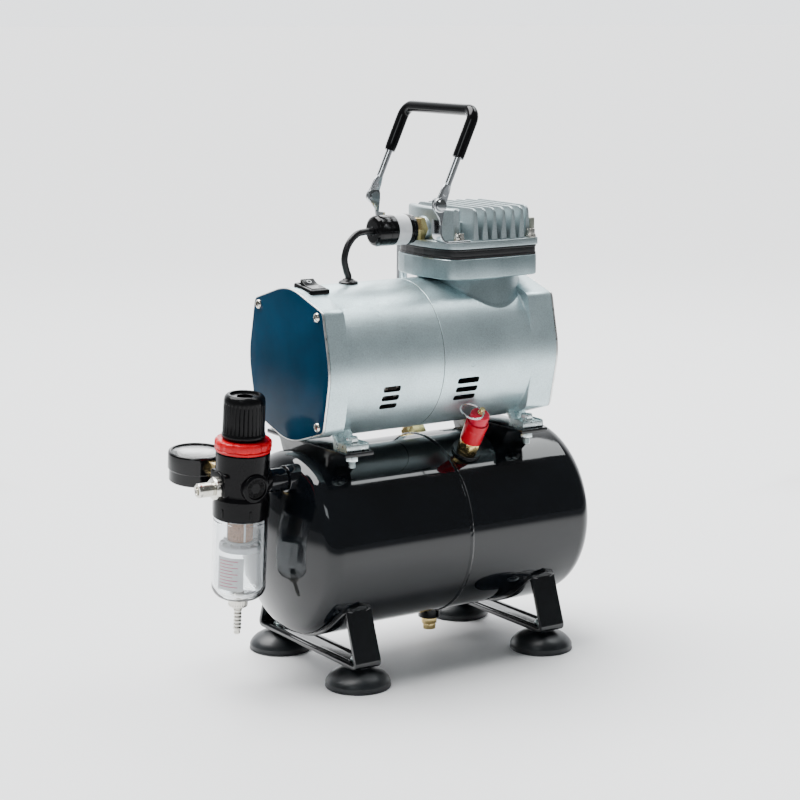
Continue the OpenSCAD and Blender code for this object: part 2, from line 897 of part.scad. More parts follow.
module rocker() {
    half = 8;
    rise = half * tan(10);
    color(gloss_black) at_motor() at_rocker() translate([0, 0, rocker_pin_z]) {
        rotate([10, 0, 0]) rotate([90, 0, 90]) translate([0, 0, -5]) linear_extrude(10) polygon([
            [-half, 3.4 + rise], [0, 3.4], [half, 3.4 + rise],
            [half, -0.5], [half - 3, -4], [3 - half, -4], [-half, -0.5]
        ]);
        rod_x(-5.9, 5.9, rocker_pin_r);
    }
}

// Empty entry for the mains cord at the rear of the motor
module cord_gland() {
    color(satin_black) at_motor() difference() {
        union() {
            difference() {
                translate([gland_x, motor_r - 6, gland_z]) rotate([-90, 0, 0]) cylinder(r = 8, h = 8);
                rod_x(gland_x - 20, gland_x + 20, motor_r);
            }
            translate([gland_x, bore_r - 3, gland_z]) rotate([-90, 0, 0]) cylinder(r = gland_r, h = 7);
        }
        translate([gland_x, 30, gland_z]) rotate([-90, 0, 0]) cylinder(r = 3.2, h = 40);
    }
}

// ---------- handle ----------

module at_pivot() {
    at_mid() translate([pivot_x, 0, pivot_z]) children();
}

// Strap under the left head bolt, its upright strip, pivot ear and the rivet
module handle_bracket() {
    ear_y = handle_y - eye_t / 2 - 0.3 - ear_t;
    strap_y = -ear_y - ear_t;
    strap_x = -4.5;
    bolt_x = head_x - head_bolt_x;
    reach = ear_t + eye_t + 0.6;
    difference() {
        union() {
            translate([strap_x, strap_y, cover_z]) cube([bolt_x + 4 - strap_x, 10.5, ear_t]);
            translate([strap_x, strap_y, cover_z]) cube([ear_t, 10.5, 16]);
            translate([strap_x - 5, strap_y, cover_z + 10]) cube([5 + ear_t, ear_t, 16]);
            translate([pivot_x, strap_y + ear_t, pivot_z]) rotate([90, 0, 0]) cylinder(r = 5.5, h = ear_t);
        }
        translate([bolt_x, -head_bolt_y, cover_z - cut]) cylinder(r = head_bolt_r, h = 5);
    }
    // rivet, staked into the ear, that the arm turns on
    translate([pivot_x, strap_y + ear_t, pivot_z]) rotate([90, 0, 0]) {
        translate([0, 0, -1.5]) cylinder(r = 3.4, h = 1.5);
        cylinder(r = rivet_r, h = reach);
        translate([0, 0, reach]) cylinder(r = 3.8, h = 1.6);
    }
}

module handle_brackets() {
    color(chrome) at_mid() mirror_y() handle_bracket();
}

// Handle in its own upright frame, pivots on the Y axis
module upright_handle(r, z0) {
    corner_y = handle_y - handle_bend;
    corner_z = handle_len - handle_bend;
    mirror_y() {
        translate([0, handle_y, z0]) cylinder(r = r, h = corner_z - z0);
        translate([0, corner_y, corner_z]) rotate([90, 0, 90])
            rotate_extrude(angle = 90) translate([handle_bend, 0]) circle(r = r);
        translate([0, 0, handle_len]) rotate([-90, 0, 0]) cylinder(r = r, h = corner_y);
    }
}

module handle_bail() {
    color(chrome) at_pivot() rotate([0, handle_lean, 0]) difference() {
        union() {
            upright_handle(rod_r, 12);
            mirror_y() translate([0, handle_y, 0]) rotate([90, 0, 0])
                cylinder(r = 5, h = eye_t, center = true);
            mirror_y() translate([-3, handle_y - eye_t / 2, 0]) cube([6, eye_t, 18]);
        }
        rotate([90, 0, 0]) cylinder(r = rivet_r + fit, h = 100, center = true);
    }
}

module handle_grip() {
    color(gloss_black) at_pivot() rotate([0, handle_lean, 0]) difference() {
        upright_handle(grip_d / 2, grip_start);
        upright_handle(rod_r, grip_start - cut);
    }
}

// ---------- safety valve ----------

module at_safety() {
    at_mid() on_tank(safety_x, safety_a) children();
}

module safety_body() {
    color(brass) at_safety() difference() {
        union() {
            translate([0, 0, -4]) cylinder(r = quarter_thread_r, h = bung_h + 4);
            translate([0, 0, bung_h]) hexagon(13, hex_top - bung_h);
            translate([0, 0, hex_top]) cylinder(r = 6, h = cup_floor - hex_top);
        }
        translate([0, 0, 11]) cylinder(r = 1.5 + fit, h = 20);
    }
}

module safety_sleeve() {
    color(signal_red) at_safety() difference() {
        translate([0, 0, hex_top]) cylinder(r = 8, h = sleeve_top - hex_top);
        translate([0, 0, hex_top - cut]) cylinder(r = 6, h = 20);
        translate([0, 0, cup_floor]) cylinder(r = 7.3, h = 20);
    }
}

module safety_knob() {
    stub_r = 1.9;
    color(signal_red) at_safety() difference() {
        union() {
            translate([0, 0, 12]) cylinder(r = 1.5, h = 12);
            translate([0, 0, knob_z0]) cylinder(r = 6.75, h = knob_top - knob_z0);
            translate([0, 0, knob_top]) cylinder(r = stub_r, h = 3.8);
        }
        translate([0, 0, ring_z]) rotate([0, 0, ring_a + 90]) rod_x(-5, 5, 1.1);
    }
}

module pull_ring() {
    color(chrome) at_safety() translate([0, 0, ring_z]) rotate([0, 0, ring_a]) translate([ring_r, 0, 0])
        rotate_extrude() translate([ring_r, 0]) circle(r = ring_wire, $fn = 24);
}

// ---------- tank drain ----------

module tank_drain() {
    color(brass) at_mid() on_tank(drain_x, 180) difference() {
        union() {
            translate([0, 0, 0.5]) cylinder(r = eighth_thread_r - fit, h = drain_bung_h + 0.5);
            translate([0, 0, drain_bung_h + 0.3]) cylinder(r = 5.6, h = 4.5);
            translate([0, 0, drain_bung_h + 4.8]) hexagon(9, 4);
        }
        translate([0, 0, -cut]) cylinder(r = 1.2, h = 30);
    }
}

// ---------- regulator ----------

module at_regulator() {
    at_mid() translate([reg_x, reg_y, reg_z]) rotate([reg_lean, 0, 0]) children();
}

module regulator_body() {
    bonnet_top = 46;
    boss_reach = 18;
    color(gloss_black) at_regulator() difference() {
        union() {
            translate([0, 0, -18]) cylinder(r = reg_r, h = ring_z0 + 18);
            translate([0, 0, body_z0]) cylinder(r = 18, h = 8);
            translate([0, 0, body_z0 + 8]) cylinder(r1 = 18, r2 = reg_r, h = 3);
            rod_x(-reg_r - 1, reg_r + 1, 9);
            rotate([90, 0, 0]) cylinder(r = 9.5, h = 2 * boss_reach, center = true);
            translate([0, 0, ring_z0]) cylinder(r = 11.5, h = bonnet_top - ring_z0);
        }
        translate([0, 0, 14]) cylinder(r = 8.5, h = bonnet_top - 14 - 6);
        translate([0, 0, bonnet_top - 7]) cylinder(r = 4 + fit, h = 10);
        rod_x(-30, -6, eighth_thread_r);
        rod_x(6, 30, eighth_thread_r);
        rotate([90, 0, 0]) translate([0, 0, 8]) cylinder(r = 6.5, h = 20);
        rotate([-90, 0, 0]) translate([0, 0, 6]) cylinder(r = eighth_thread_r, h = 20);
        translate([0, 0, body_z0 - cut]) cylinder(r = bowl_r - 1, h = 9);
        translate([0, 0, body_z0]) cylinder(r = 3.5, h = 20);
    }
}

module lock_ring() {
    color(signal_red) at_regulator() translate([0, 0, ring_z0]) linear_extrude(ring_z1 - ring_z0)
        difference() {
            circle(r = 17.8);
            circle(r = 11.5);
            for (a = [0:30:330]) rotate(a) translate([21.2, 0]) circle(r = 4.2, $fn = 24);
        }
}

module regulator_knob() {
    grip_z = 46;
    color(satin_black) at_regulator() difference() {
        union() {
            translate([0, 0, knob_z]) cylinder(r1 = 14.2, r2 = 13.8, h = grip_z - knob_z);
            translate([0, 0, grip_z]) linear_extrude(knob_z1 - grip_z - 2) difference() {
                circle(r = 13.6);
                for (a = [0:15:345]) rotate(a) translate([14.1, 0]) circle(r = 0.9, $fn = 16);
            }
            translate([0, 0, knob_z1 - 2]) cylinder(r1 = 13, r2 = 12, h = 2);
        }
        translate([0, 0, knob_z - cut]) cylinder(r = 12, h = 24);
        translate([0, 0, knob_z1 - 7]) hexagon(10, 5.3);
    }
}

module adjusting_screw() {
    color(steel) at_regulator() {
        translate([0, 0, 30]) cylinder(r = 4, h = 20);
        translate([0, 0, 50]) hexagon(9.6, 5);
    }
}

module regulator_spring() {
    turns = 4;
    color(steel) at_regulator() for (i = [0:turns]) translate([0, 0, 16 + i * 2.8])
        rotate_extrude() translate([6.2, 0]) circle(r = 1, $fn = 16);
}

module inlet_nipple() {
    color(brass) at_mid() translate([0, reg_y, reg_z]) {
        rod_x(reg_x + 8, port_bung_x + 8, eighth_thread_r);
        difference() {
            translate([reg_x + reg_r + 1, 0, 0]) rotate([0, 90, 0])
                hexagon(14, port_bung_x - reg_x - reg_r - 1);
            rod_x(reg_x, port_bung_x + 10, eighth_thread_r);
        }
    }
}

// Hexagon and threaded spigot that the air hose's nut screws on to
module outlet_fitting() {
    face = reg_x - reg_r - 1;
    color(nickel) at_mid() translate([0, reg_y, reg_z]) difference() {
        union() {
            rod_x(face, face + 9, eighth_thread_r);
            translate([face - outlet_hex, 0, 0]) rotate([0, 90, 0]) hexagon(14, outlet_hex);
            rod_x(outlet_x, face - outlet_hex, eighth_thread_r);
        }
        rod_x(outlet_x - cut, face + 10, 2.5);
    }
}

module port_plug() {
    color(satin_black) at_regulator() rotate([90, 0, 0]) translate([0, 0, 9]) difference() {
        cylinder(r = 6.5, h = 7.5);
        translate([0, 0, 3.5]) hexagon(6, 6);
    }
}

module filter_bowl() {
    inner = bowl_r - bowl_wall;
    seat = body_z0 + 6;
    low = bowl_z0 + 6;
    color([0.9, 0.95, 1, 0.35]) at_regulator() rotate_extrude() polygon(concat(
        [[inner, seat], [inner, low]],
        arc(inner - 5, low, 5, 0, -90, 4),
        [[4, low - 5], [4, bowl_z0], [bowl_r - 7, bowl_z0]],
        arc(bowl_r - 7, low + 1, 7, -90, 0, 5),
        [[bowl_r, body_z0], [bowl_r - 1, body_z0], [bowl_r - 1, seat]]
    ));
}

module filter_core() {
    color([0.45, 0.36, 0.28]) at_regulator() {
        translate([0, 0, -43]) cylinder(r = 7.5, h = 43 + body_z0 + 8);
        translate([0, 0, -45]) cylinder(r = 9, h = 2);
        translate([0, 0, -47.5]) cylinder(r = 12.5, h = 2.5);
    }
}

module scale_card() {
    color([0.95, 0.95, 0.95]) at_regulator() translate([0, 0, -73]) rotate([0, 0, 185])
        rotate_extrude(angle = 60) translate([14.2, 0]) square([0.4, 23]);
}

module bowl_drain() {
    z1 = bowl_z0 - 0.2;
    color(nickel) at_regulator() difference() {
        union() {
            translate([0, 0, z1]) cylinder(r = 4 - fit, h = 4);
            translate([0, 0, z1 - 7]) cylinder(r = 6.5, h = 7);
            translate([0, 0, barb_z]) cylinder(r = 2.1, h = z1 - 7 - barb_z);
            for (i = [0:3]) translate([0, 0, barb_z + i * 3.6]) cylinder(r1 = 1.9, r2 = 2.8, h = 3);
        }
        translate([0, 0, barb_z - cut]) cylinder(r = 1.1, h = 30);
    }
}

// ---------- pressure gauge ----------

module at_gauge() {
    at_regulator() translate([0, gauge_y, 0]) children();
}

module gauge_case() {
    bezel_h = 12;
    color(gloss_black) at_gauge() {
        difference() {
            union() {
                translate([0, 0, gauge_z0]) cylinder(r = gauge_r - 1, h = gauge_z1 - gauge_z0 - bezel_h);
                translate([0, 0, gauge_z1 - bezel_h]) cylinder(r = gauge_r, h = bezel_h);
            }
            translate([0, 0, gauge_z0 + 1.5]) cylinder(r = gauge_r - 2.5, h = 40);
            rotate([90, 0, 0]) cylinder(r = eighth_thread_r, h = 40);
        }
        // brass stem into the regulator's rear port
        rotate([90, 0, 0]) translate([0, 0, gauge_r - 2.5])
            cylinder(r = eighth_thread_r, h = gauge_y - gauge_r - 5.5);
        difference() {
            rotate([90, 0, 0]) translate([0, 0, gauge_r + 0.5]) hexagon(11, gauge_y - 18 - gauge_r - 0.5);
            rotate([90, 0, 0]) cylinder(r = eighth_thread_r, h = 60);
        }
    }
}

module gauge_dial() {
    color([0.95, 0.95, 0.95]) at_gauge() translate([0, 0, gauge_z1 - 5]) difference() {
        cylinder(r = gauge_r - 2.5, h = 0.8);
        translate([0, 0, -cut]) cylinder(r = 1 + fit, h = 4);
    }
}

module gauge_lens() {
    color([0.9, 0.95, 1, 0.3]) at_gauge() translate([0, 0, gauge_z1 - 1.8])
        cylinder(r = gauge_r - 2.5, h = 1.4);
}

module gauge_needle() {
    color([0.1, 0.1, 0.1]) at_gauge() translate([0, 0, gauge_z1 - 3.9]) {
        translate([0, 0, -1]) cylinder(r = 1, h = 2);
        cylinder(r = 2, h = 1);
        rotate([0, 0, -45]) translate([-0.5, -13, 0]) cube([1, 18, 0.5]);
    }
}

tank_left();
tank_right();
tank_bungs();
leg_frames();
suction_feet();
foot_screws();
motor_saddles();
motor_feet();
mount_bolts();
housing_left();
housing_right();
end_plate_left();
end_plate_right();
end_plate_screws();
stator();
rotor();
crankshaft();
bearings();
cooling_fan();
connecting_rod();
piston();
cylinder_liner();
valve_plate();
cylinder_head();
head_bolts();
intake_filter();
delivery_pipe();
check_valve();
switch_nipple();
pressure_switch();
switch_cap();
switch_lead();
lead_grommet();
rocker_bezel();
rocker();
cord_gland();
handle_brackets();
handle_bail();
handle_grip();
safety_body();
safety_sleeve();
safety_knob();
pull_ring();
tank_drain();
regulator_body();
lock_ring();
regulator_knob();
adjusting_screw();
regulator_spring();
inlet_nipple();
outlet_fitting();
port_plug();
filter_bowl();
filter_core();
scale_card();
bowl_drain();
gauge_case();
gauge_dial();
gauge_lens();
gauge_needle();
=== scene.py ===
"""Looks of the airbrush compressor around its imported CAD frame.

Shapes are written in millimetres, in the frame of the CAD. `Shape.done` turns them into
Blender objects in metres. Places come from the CAD nodes' boxes and from the joints.
"""

import json
import math

import bmesh
import bpy
from mathutils import Matrix, Vector


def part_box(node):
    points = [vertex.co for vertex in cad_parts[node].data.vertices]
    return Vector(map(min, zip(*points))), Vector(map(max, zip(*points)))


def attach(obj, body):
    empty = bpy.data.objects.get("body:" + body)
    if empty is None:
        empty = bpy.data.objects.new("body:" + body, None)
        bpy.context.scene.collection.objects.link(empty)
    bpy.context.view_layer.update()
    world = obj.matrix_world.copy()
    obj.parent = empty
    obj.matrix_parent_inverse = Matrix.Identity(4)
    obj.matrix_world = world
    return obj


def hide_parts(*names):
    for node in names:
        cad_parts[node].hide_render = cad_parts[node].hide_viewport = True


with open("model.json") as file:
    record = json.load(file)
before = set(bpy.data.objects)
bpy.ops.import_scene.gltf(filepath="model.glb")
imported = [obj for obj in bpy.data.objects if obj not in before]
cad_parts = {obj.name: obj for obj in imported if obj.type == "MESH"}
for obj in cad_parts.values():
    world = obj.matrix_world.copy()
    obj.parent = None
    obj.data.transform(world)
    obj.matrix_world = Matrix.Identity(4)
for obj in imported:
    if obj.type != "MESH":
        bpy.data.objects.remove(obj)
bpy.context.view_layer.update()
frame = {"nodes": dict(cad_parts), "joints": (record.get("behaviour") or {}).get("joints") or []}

MM = 0.001
TAU = 2 * math.pi
IDENTITY = Matrix.Identity(4)

# ---------- places, from the frame ----------


def box(node):
    """Lowest and highest corner of a CAD node, in millimetres."""
    low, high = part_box(node)
    return low / MM, high / MM


def centre_of(node):
    low, high = box(node)
    return (low + high) / 2


def joint(name):
    return next(j for j in frame["joints"] if j["name"] == name)


def at(x=0, y=0, z=0):
    return Matrix.Translation((x, y, z))


def turn(angle, axis):
    return Matrix.Rotation(math.radians(angle), 4, axis)


def across(x=0):
    """Frame for an outline drawn in (y, z) and extruded along X."""
    return Matrix(((0, 0, 1, x), (1, 0, 0, 0), (0, 1, 0, 0), (0, 0, 0, 1)))


def joint_place(name):
    """Frame of a joint whose Z is the joint's axis. The axis lies in the YZ plane."""
    j = joint(name)
    x, y, z = (v / MM for v in j["pos_m"])
    axis = Vector(j["axis"])
    lean = math.degrees(math.atan2(-axis.y, axis.z))
    return at(x, y, z) @ turn(lean, "X")


ALONG_X = turn(90, "Y")
MINUS_X = turn(-90, "Y")
FRONT = turn(90, "X")
REAR = turn(-90, "X")

PIVOT = Vector(joint("handle_fold")["pos_m"]) / MM
MID_X = PIVOT.x + 6
motor = at(MID_X, 0, joint("motor_spin")["pos_m"][2] / MM)
regulator = joint_place("screw_turn") @ at(0, 0, 2.5)
gauge = joint_place("needle_sweep") @ turn(180, "X")
MOTOR_Z = motor.translation.z
TANK_LOW, TANK_HIGH = box("tank_left")
TANK_Z = centre_of("tank_left").z
TANK_R = TANK_HIGH.z - TANK_Z

# ---------- outlines ----------


def arc(cx, cy, r, a0, a1, n):
    """Points on an arc, angles in degrees."""
    out = []
    for i in range(n + 1):
        a = math.radians(a0 + (a1 - a0) * i / n)
        out.append((cx + r * math.cos(a), cy + r * math.sin(a)))
    return out


def polar(radius, n):
    """Closed outline of n points whose radius is a function of the angle."""
    angles = [TAU * i / n for i in range(n)]
    return [(radius(a) * math.cos(a), radius(a) * math.sin(a)) for a in angles]


def ring(r, n=64):
    return polar(lambda a: r, n)


def soften(points, r=0.5, closed=False, steps=4):
    """Rounds the corners of a line. A point may bring its own radius as a third number."""
    out = []
    n = len(points)
    for i, p in enumerate(points):
        here = Vector(p[:2])
        radius = p[2] if len(p) > 2 else r
        if (not closed and i in (0, n - 1)) or radius <= 0:
            out.append(tuple(here))
            continue
        to_last = Vector(points[i - 1][:2]) - here
        to_next = Vector(points[(i + 1) % n][:2]) - here
        if to_last.length < 1e-6 or to_next.length < 1e-6:
            out.append(tuple(here))
            continue
        angle = to_last.angle(to_next)
        if angle > math.radians(176):
            out.append(tuple(here))
            continue
        reach = radius / math.tan(angle / 2)
        reach = min(reach, 0.48 * to_last.length, 0.48 * to_next.length)
        a = here + to_last.normalized() * reach
        b = here + to_next.normalized() * reach
        for k in range(steps + 1):
            t = k / steps
            q = a * (1 - t) ** 2 + here * 2 * t * (1 - t) + b * t * t
            out.append((q.x, q.y))
    return out


def rectangle(l, w, r=1.0, steps=4):
    x, y = l / 2, w / 2
    return soften([(x, -y), (x, y), (-x, y), (-x, -y)], r, True, steps)


def polygon(sides, flats, r=0.4):
    """Regular outline with the given size across its flats."""
    outer = flats / 2 / math.cos(math.pi / sides)
    return soften(ring(outer, sides), r, True, 3)


def inset(outline, d):
    """The outline moved inwards by d. The outline runs counter-clockwise."""
    if d == 0:
        return list(outline)
    n = len(outline)
    out = []
    for i in range(n):
        a = Vector(outline[i - 1])
        b = Vector(outline[i])
        c = Vector(outline[(i + 1) % n])
        u = (b - a).normalized() if (b - a).length > 1e-7 else (c - b).normalized()
        v = (c - b).normalized() if (c - b).length > 1e-7 else u
        normal = Vector((-u.y - v.y, u.x + v.x))
        if normal.length < 1e-6:
            normal = Vector((-u.y, u.x))
        normal.normalize()
        stretch = max(0.5, normal.dot(Vector((-u.y, u.x))))
        q = b + normal * (d / stretch)
        out.append((q.x, q.y))
    return out


# ---------- mesh building ----------


class Shape:
    """Gathers faces in millimetres and makes one object of them."""

    def __init__(self):
        self.bm = bmesh.new()

    def points(self, coords, place=IDENTITY):
        return [self.bm.verts.new(place @ Vector(c)) for c in coords]

    def face(self, verts, look):
        try:
            f = self.bm.faces.new(verts)
        except ValueError:
            return
        f.material_index = look
        f.smooth = True

    def skin(self, rings, look=0, caps=(True, True), closed=True):
        """Joins rings of the same number of vertices. A ring of one vertex is a tip."""
        for a, b in zip(rings, rings[1:]):
            n = max(len(a), len(b))
            for i in range(n if closed else n - 1):
                k = (i + 1) % n
                if len(a) == 1:
                    self.face([a[0], b[i], b[k]], look)
                elif len(b) == 1:
                    self.face([a[i], a[k], b[0]], look)
                else:
                    self.face([a[i], a[k], b[k], b[i]], look)
        for wanted, loop in ((caps[0], rings[0]), (caps[1], rings[-1])):
            if wanted and len(loop) > 2:
                self.face(loop if loop is rings[-1] else loop[::-1], look)

    def lathe(self, profile, place=IDENTITY, look=0, steps=64, a0=0, a1=360, caps=(True, True)):
        """Turns a profile of (radius, height) round the place's Z axis."""
        whole = abs(a1 - a0) >= 360
        count = steps if whole else steps + 1
        rings = []
        for r, z in profile:
            if r < 1e-6:
                rings.append(self.points([(0, 0, z)], place))
                continue
            loop = []
            for i in range(count):
                a = math.radians(a0 + (a1 - a0) * i / steps)
                loop.append((r * math.cos(a), r * math.sin(a), z))
            rings.append(self.points(loop, place))
        self.skin(rings, look, caps if whole else (False, False), whole)

    def lathe_loop(self, profile, place=IDENTITY, look=0, steps=64):
        """Turns a closed profile, such as a tube's wall, into a ring."""
        rings = [self.layer(ring(r, steps), 0, z, place) for r, z in profile]
        self.skin(rings + [rings[0]], look, (False, False))

    def disc(self, r, z0, z1, place, edge=0.2, look=0, steps=48):
        """A solid cylinder with softened rims."""
        self.lathe(soften([(0, z0), (r, z0), (r, z1), (0, z1)], edge), place, look, steps)

    def prism(self, outline, z0, z1, place=IDENTITY, edge=0.4, look=0, low_edge=None):
        """Extrudes an outline along Z with rounded rims."""
        low = edge if low_edge is None else low_edge
        quarter = [math.radians(30 * k) for k in range(4)]
        rings = []
        for a in quarter if low > 0 else quarter[-1:]:
            rings.append(self.layer(outline, low * (1 - math.sin(a)), z0 + low * (1 - math.cos(a)), place))
        for a in quarter if edge > 0 else quarter[:1]:
            d, level = edge * (1 - math.cos(a)), z1 - edge * (1 - math.sin(a))
            rings.append(self.layer(outline, d, level, place))
        self.skin(rings, look)

    def layer(self, outline, d, z, place):
        return self.points([(x, y, z) for x, y in inset(outline, d)], place)

    def block(self, size, centre, place=IDENTITY, edge=0.4, look=0, corner=None):
        """A rounded block."""
        r = edge if corner is None else corner
        x, y, z = size
        here = place @ at(*centre)
        self.prism(rectangle(x, y, r), -z / 2, z / 2, here, edge, look)

    def tube(self, path, r, sides=24):
        """Sweeps a circle along a path. r is one radius or one for each point."""
        path = [Vector(p) for p in path]
        n = len(path)
        radii = r if isinstance(r, (list, tuple)) else [r] * n
        tangent = (path[1] - path[0]).normalized()
        normal = tangent.orthogonal().normalized()
        rings = []
        for i, p in enumerate(path):
            ahead = path[min(i + 1, n - 1)] - path[max(i - 1, 0)]
            new_tangent = ahead.normalized()
            normal = tangent.rotation_difference(new_tangent) @ normal
            tangent = new_tangent
            side = tangent.cross(normal).normalized()
            rings.append(self.points([p + (normal * u + side * v) * radii[i] for u, v in ring(1, sides)]))
        self.skin(rings)

    def done(self, name, body, looks, replaces=(), slot=None, sharp=32, weld=True):
        """Makes the object, in metres, riding on a body."""
        bm = self.bm
        if weld:
            bmesh.ops.remove_doubles(bm, verts=bm.verts, dist=1e-4)
            bmesh.ops.dissolve_degenerate(bm, edges=bm.edges, dist=1e-5)
        face_outwards(bm)
        bmesh.ops.scale(bm, verts=bm.verts, vec=(MM, MM, MM))
        mesh = bpy.data.meshes.new(name)
        bm.to_mesh(mesh)
        bm.free()
        obj = add_object(name, mesh)
        for look in looks:
            mesh.materials.append(look)
        mark_sharp(mesh, sharp)
        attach(obj, body)
        if replaces:
            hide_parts(*replaces)
        return obj


def add_object(name, data):
    obj = bpy.data.objects.new(name, data)
    bpy.context.scene.collection.objects.link(obj)
    return obj


def face_outwards(bm):
    """Turns every separate shell so that its faces look out."""
    bmesh.ops.recalc_face_normals(bm, faces=bm.faces)
    seen = set()
    for first in bm.faces:
        if first in seen:
            continue
        shell = [first]
        seen.add(first)
        volume = 0.0
        for f in shell:
            corners = [v.co for v in f.verts]
            for b, c in zip(corners[1:], corners[2:]):
                volume += corners[0].dot(b.cross(c))
            for e in f.edges:
                for other in e.link_faces:
                    if other not in seen:
                        seen.add(other)
                        shell.append(other)
        if volume < 0:
            bmesh.ops.reverse_faces(bm, faces=shell)


def mark_sharp(mesh, angle):
    """Smooth shading that breaks at edges sharper than the angle."""
    bm = bmesh.new()
    bm.from_mesh(mesh)
    limit = math.radians(angle)
    for f in bm.faces:
        f.smooth = True
    for e in bm.edges:
        e.smooth = len(e.link_faces) == 2 and e.calc_face_angle(0) < limit
    bm.to_mesh(mesh)
    bm.free()


def carve(obj, cutter, sharp=32, look=None):
    """Cuts a shape out of an object. The cut's walls take the given look."""
    bm = cutter.bm
    face_outwards(bm)
    bmesh.ops.scale(bm, verts=bm.verts, vec=(MM, MM, MM))
    mesh = bpy.data.meshes.new("cutter")
    bm.to_mesh(mesh)
    bm.free()
    tool = add_object("cutter", mesh)
    mesh.materials.append(look or obj.data.materials[0])
    cut = obj.modifiers.new("cut", "BOOLEAN")
    cut.operation = "DIFFERENCE"
    cut.solver = "EXACT"
    cut.use_self = True
    cut.object = tool
    cut.material_mode = "TRANSFER"
    bpy.context.view_layer.update()
    graph = bpy.context.evaluated_depsgraph_get()
    result = bpy.data.meshes.new_from_object(obj.evaluated_get(graph))
    obj.modifiers.clear()
    old = obj.data
    obj.data = result
    result.name = old.name
    bpy.data.objects.remove(tool)
    mark_sharp(result, sharp)


# ---------- materials ----------


def map_range(nodes, links, value, numbers, kind="LINEAR"):
    """Maps a value by (from min, from max, to min, to max)."""
    node = nodes.new("ShaderNodeMapRange")
    node.interpolation_type = kind
    for key, number in zip(("From Min", "From Max", "To Min", "To Max"), numbers):
        node.inputs[key].default_value = number
    links.new(value, node.inputs["Value"])
    return node.outputs["Result"]


class Look:
    """A procedural material: one surface shader fed by noise in object space."""

    def __init__(self, name, **shader):
        self.material = bpy.data.materials.new(name)
        self.material.use_nodes = True
        self.nodes = self.material.node_tree.nodes
        self.links = self.material.node_tree.links
        self.shader = self.nodes["Principled BSDF"]
        self.space = self.nodes.new("ShaderNodeTexCoord").outputs["Object"]
        for key, value in shader.items():
            socket = key.replace("_", " ").title().replace("Ior", "IOR")
            self.shader.inputs[socket].default_value = value

    def link(self, a, b):
        self.links.new(a, b)

    def stretched(self, scale):
        node = self.nodes.new("ShaderNodeMapping")
        node.inputs["Scale"].default_value = scale
        self.link(self.space, node.inputs["Vector"])
        return node.outputs["Vector"]

    def noise(self, scale, detail=3.0, stretch=(1, 1, 1), rough=0.5):
        node = self.nodes.new("ShaderNodeTexNoise")
        node.inputs["Scale"].default_value = scale
        node.inputs["Detail"].default_value = detail
        node.inputs["Roughness"].default_value = rough
        self.link(self.stretched(stretch), node.inputs["Vector"])
        return node.outputs["Fac"]

    def cells(self, scale):
        node = self.nodes.new("ShaderNodeTexVoronoi")
        node.inputs["Scale"].default_value = scale
        self.link(self.space, node.inputs["Vector"])
        return node.outputs["Distance"]

    def spread(self, value, low, high):
        """Stretches the middle of a noise value to a range."""
        return map_range(self.nodes, self.links, value, (0.35, 0.65, low, high))

    def colours(self, value, stops):
        """Base colour from a value, by (position, colour) stops."""
        node = self.nodes.new("ShaderNodeValToRGB")
        ramp = node.color_ramp
        while len(ramp.elements) < len(stops):
            ramp.elements.new(0.5)
        for element, (position, colour) in zip(ramp.elements, stops):
            element.position = position
            element.color = (*colour, 1)
        self.link(value, node.inputs["Fac"])
        self.link(node.outputs["Color"], self.shader.inputs["Base Color"])

    def roughness(self, value, low, high):
        self.link(self.spread(value, low, high), self.shader.inputs["Roughness"])

    def bump(self, *layers):
        """Bump from (value, height in metres, strength) layers, one on another."""
        last = None
        for value, height, strength in layers:
            node = self.nodes.new("ShaderNodeBump")
            node.inputs["Distance"].default_value = height
            node.inputs["Strength"].default_value = strength
            self.link(value, node.inputs["Height"])
            if last is not None:
                self.link(last, node.inputs["Normal"])
            last = node.outputs["Normal"]
        self.link(last, self.shader.inputs["Normal"])
        if self.shader.inputs["Coat Weight"].default_value > 0:
            self.link(last, self.shader.inputs["Coat Normal"])


def shade(colour, factor):
    return tuple(min(1, c * factor) for c in colour)


def gloss_paint(name, colour, rough=0.09, peel=0.35, coat=0.3, specular=0.45):
    """Baked enamel: slight orange peel, a soft haze and faint dust."""
    look = Look(name, coat_weight=coat, coat_roughness=0.02, specular_ior_level=specular)
    look.colours(look.noise(28, 4), [(0.35, shade(colour, 0.85)), (0.7, shade(colour, 1.25))])
    look.roughness(look.noise(60, 5), rough * 0.8, rough * 1.5)
    look.bump((look.noise(260, 2), 0.00003, peel), (look.noise(2400, 2), 0.000006, 0.25))
    return look.material


def cast_paint(name, colour, rough=0.36):
    """Silver lacquer on a casting: metal flakes, fine grain and cloudy tone."""
    look = Look(name, metallic=0.82, coat_weight=0.12, coat_roughness=0.25)
    mix = look.nodes.new("ShaderNodeMath")
    mix.operation = "MULTIPLY_ADD"
    mix.inputs[1].default_value = 0.55
    look.link(look.noise(1000, 3, rough=0.75), mix.inputs[0])
    look.link(look.spread(look.noise(34, 5), 0.17, 0.30), mix.inputs[2])
    look.colours(mix.outputs[0], [(0.28, shade(colour, 0.68)), (0.5, colour), (0.7, shade(colour, 1.25))])
    look.roughness(look.noise(700, 4), rough * 0.85, rough * 1.25)
    look.bump((look.noise(1500, 3, rough=0.7), 0.00005, 0.45), (look.noise(120, 3), 0.00008, 0.12))
    return look.material


def bright_metal(name, colour, rough=0.2, streak=(1, 1, 1), tarnish=0.88, grain=0.25):
    """Plated or turned metal: fine tool lines, smudges and a little tarnish."""
    look = Look(name, metallic=1.0)
    look.colours(look.noise(90, 3), [(0.3, shade(colour, tarnish)), (0.62, colour)])
    look.roughness(look.noise(220, 3, streak), rough * 0.8, rough * 1.3)
    look.bump((look.noise(1400, 2, streak), 0.000008, grain))
    return look.material


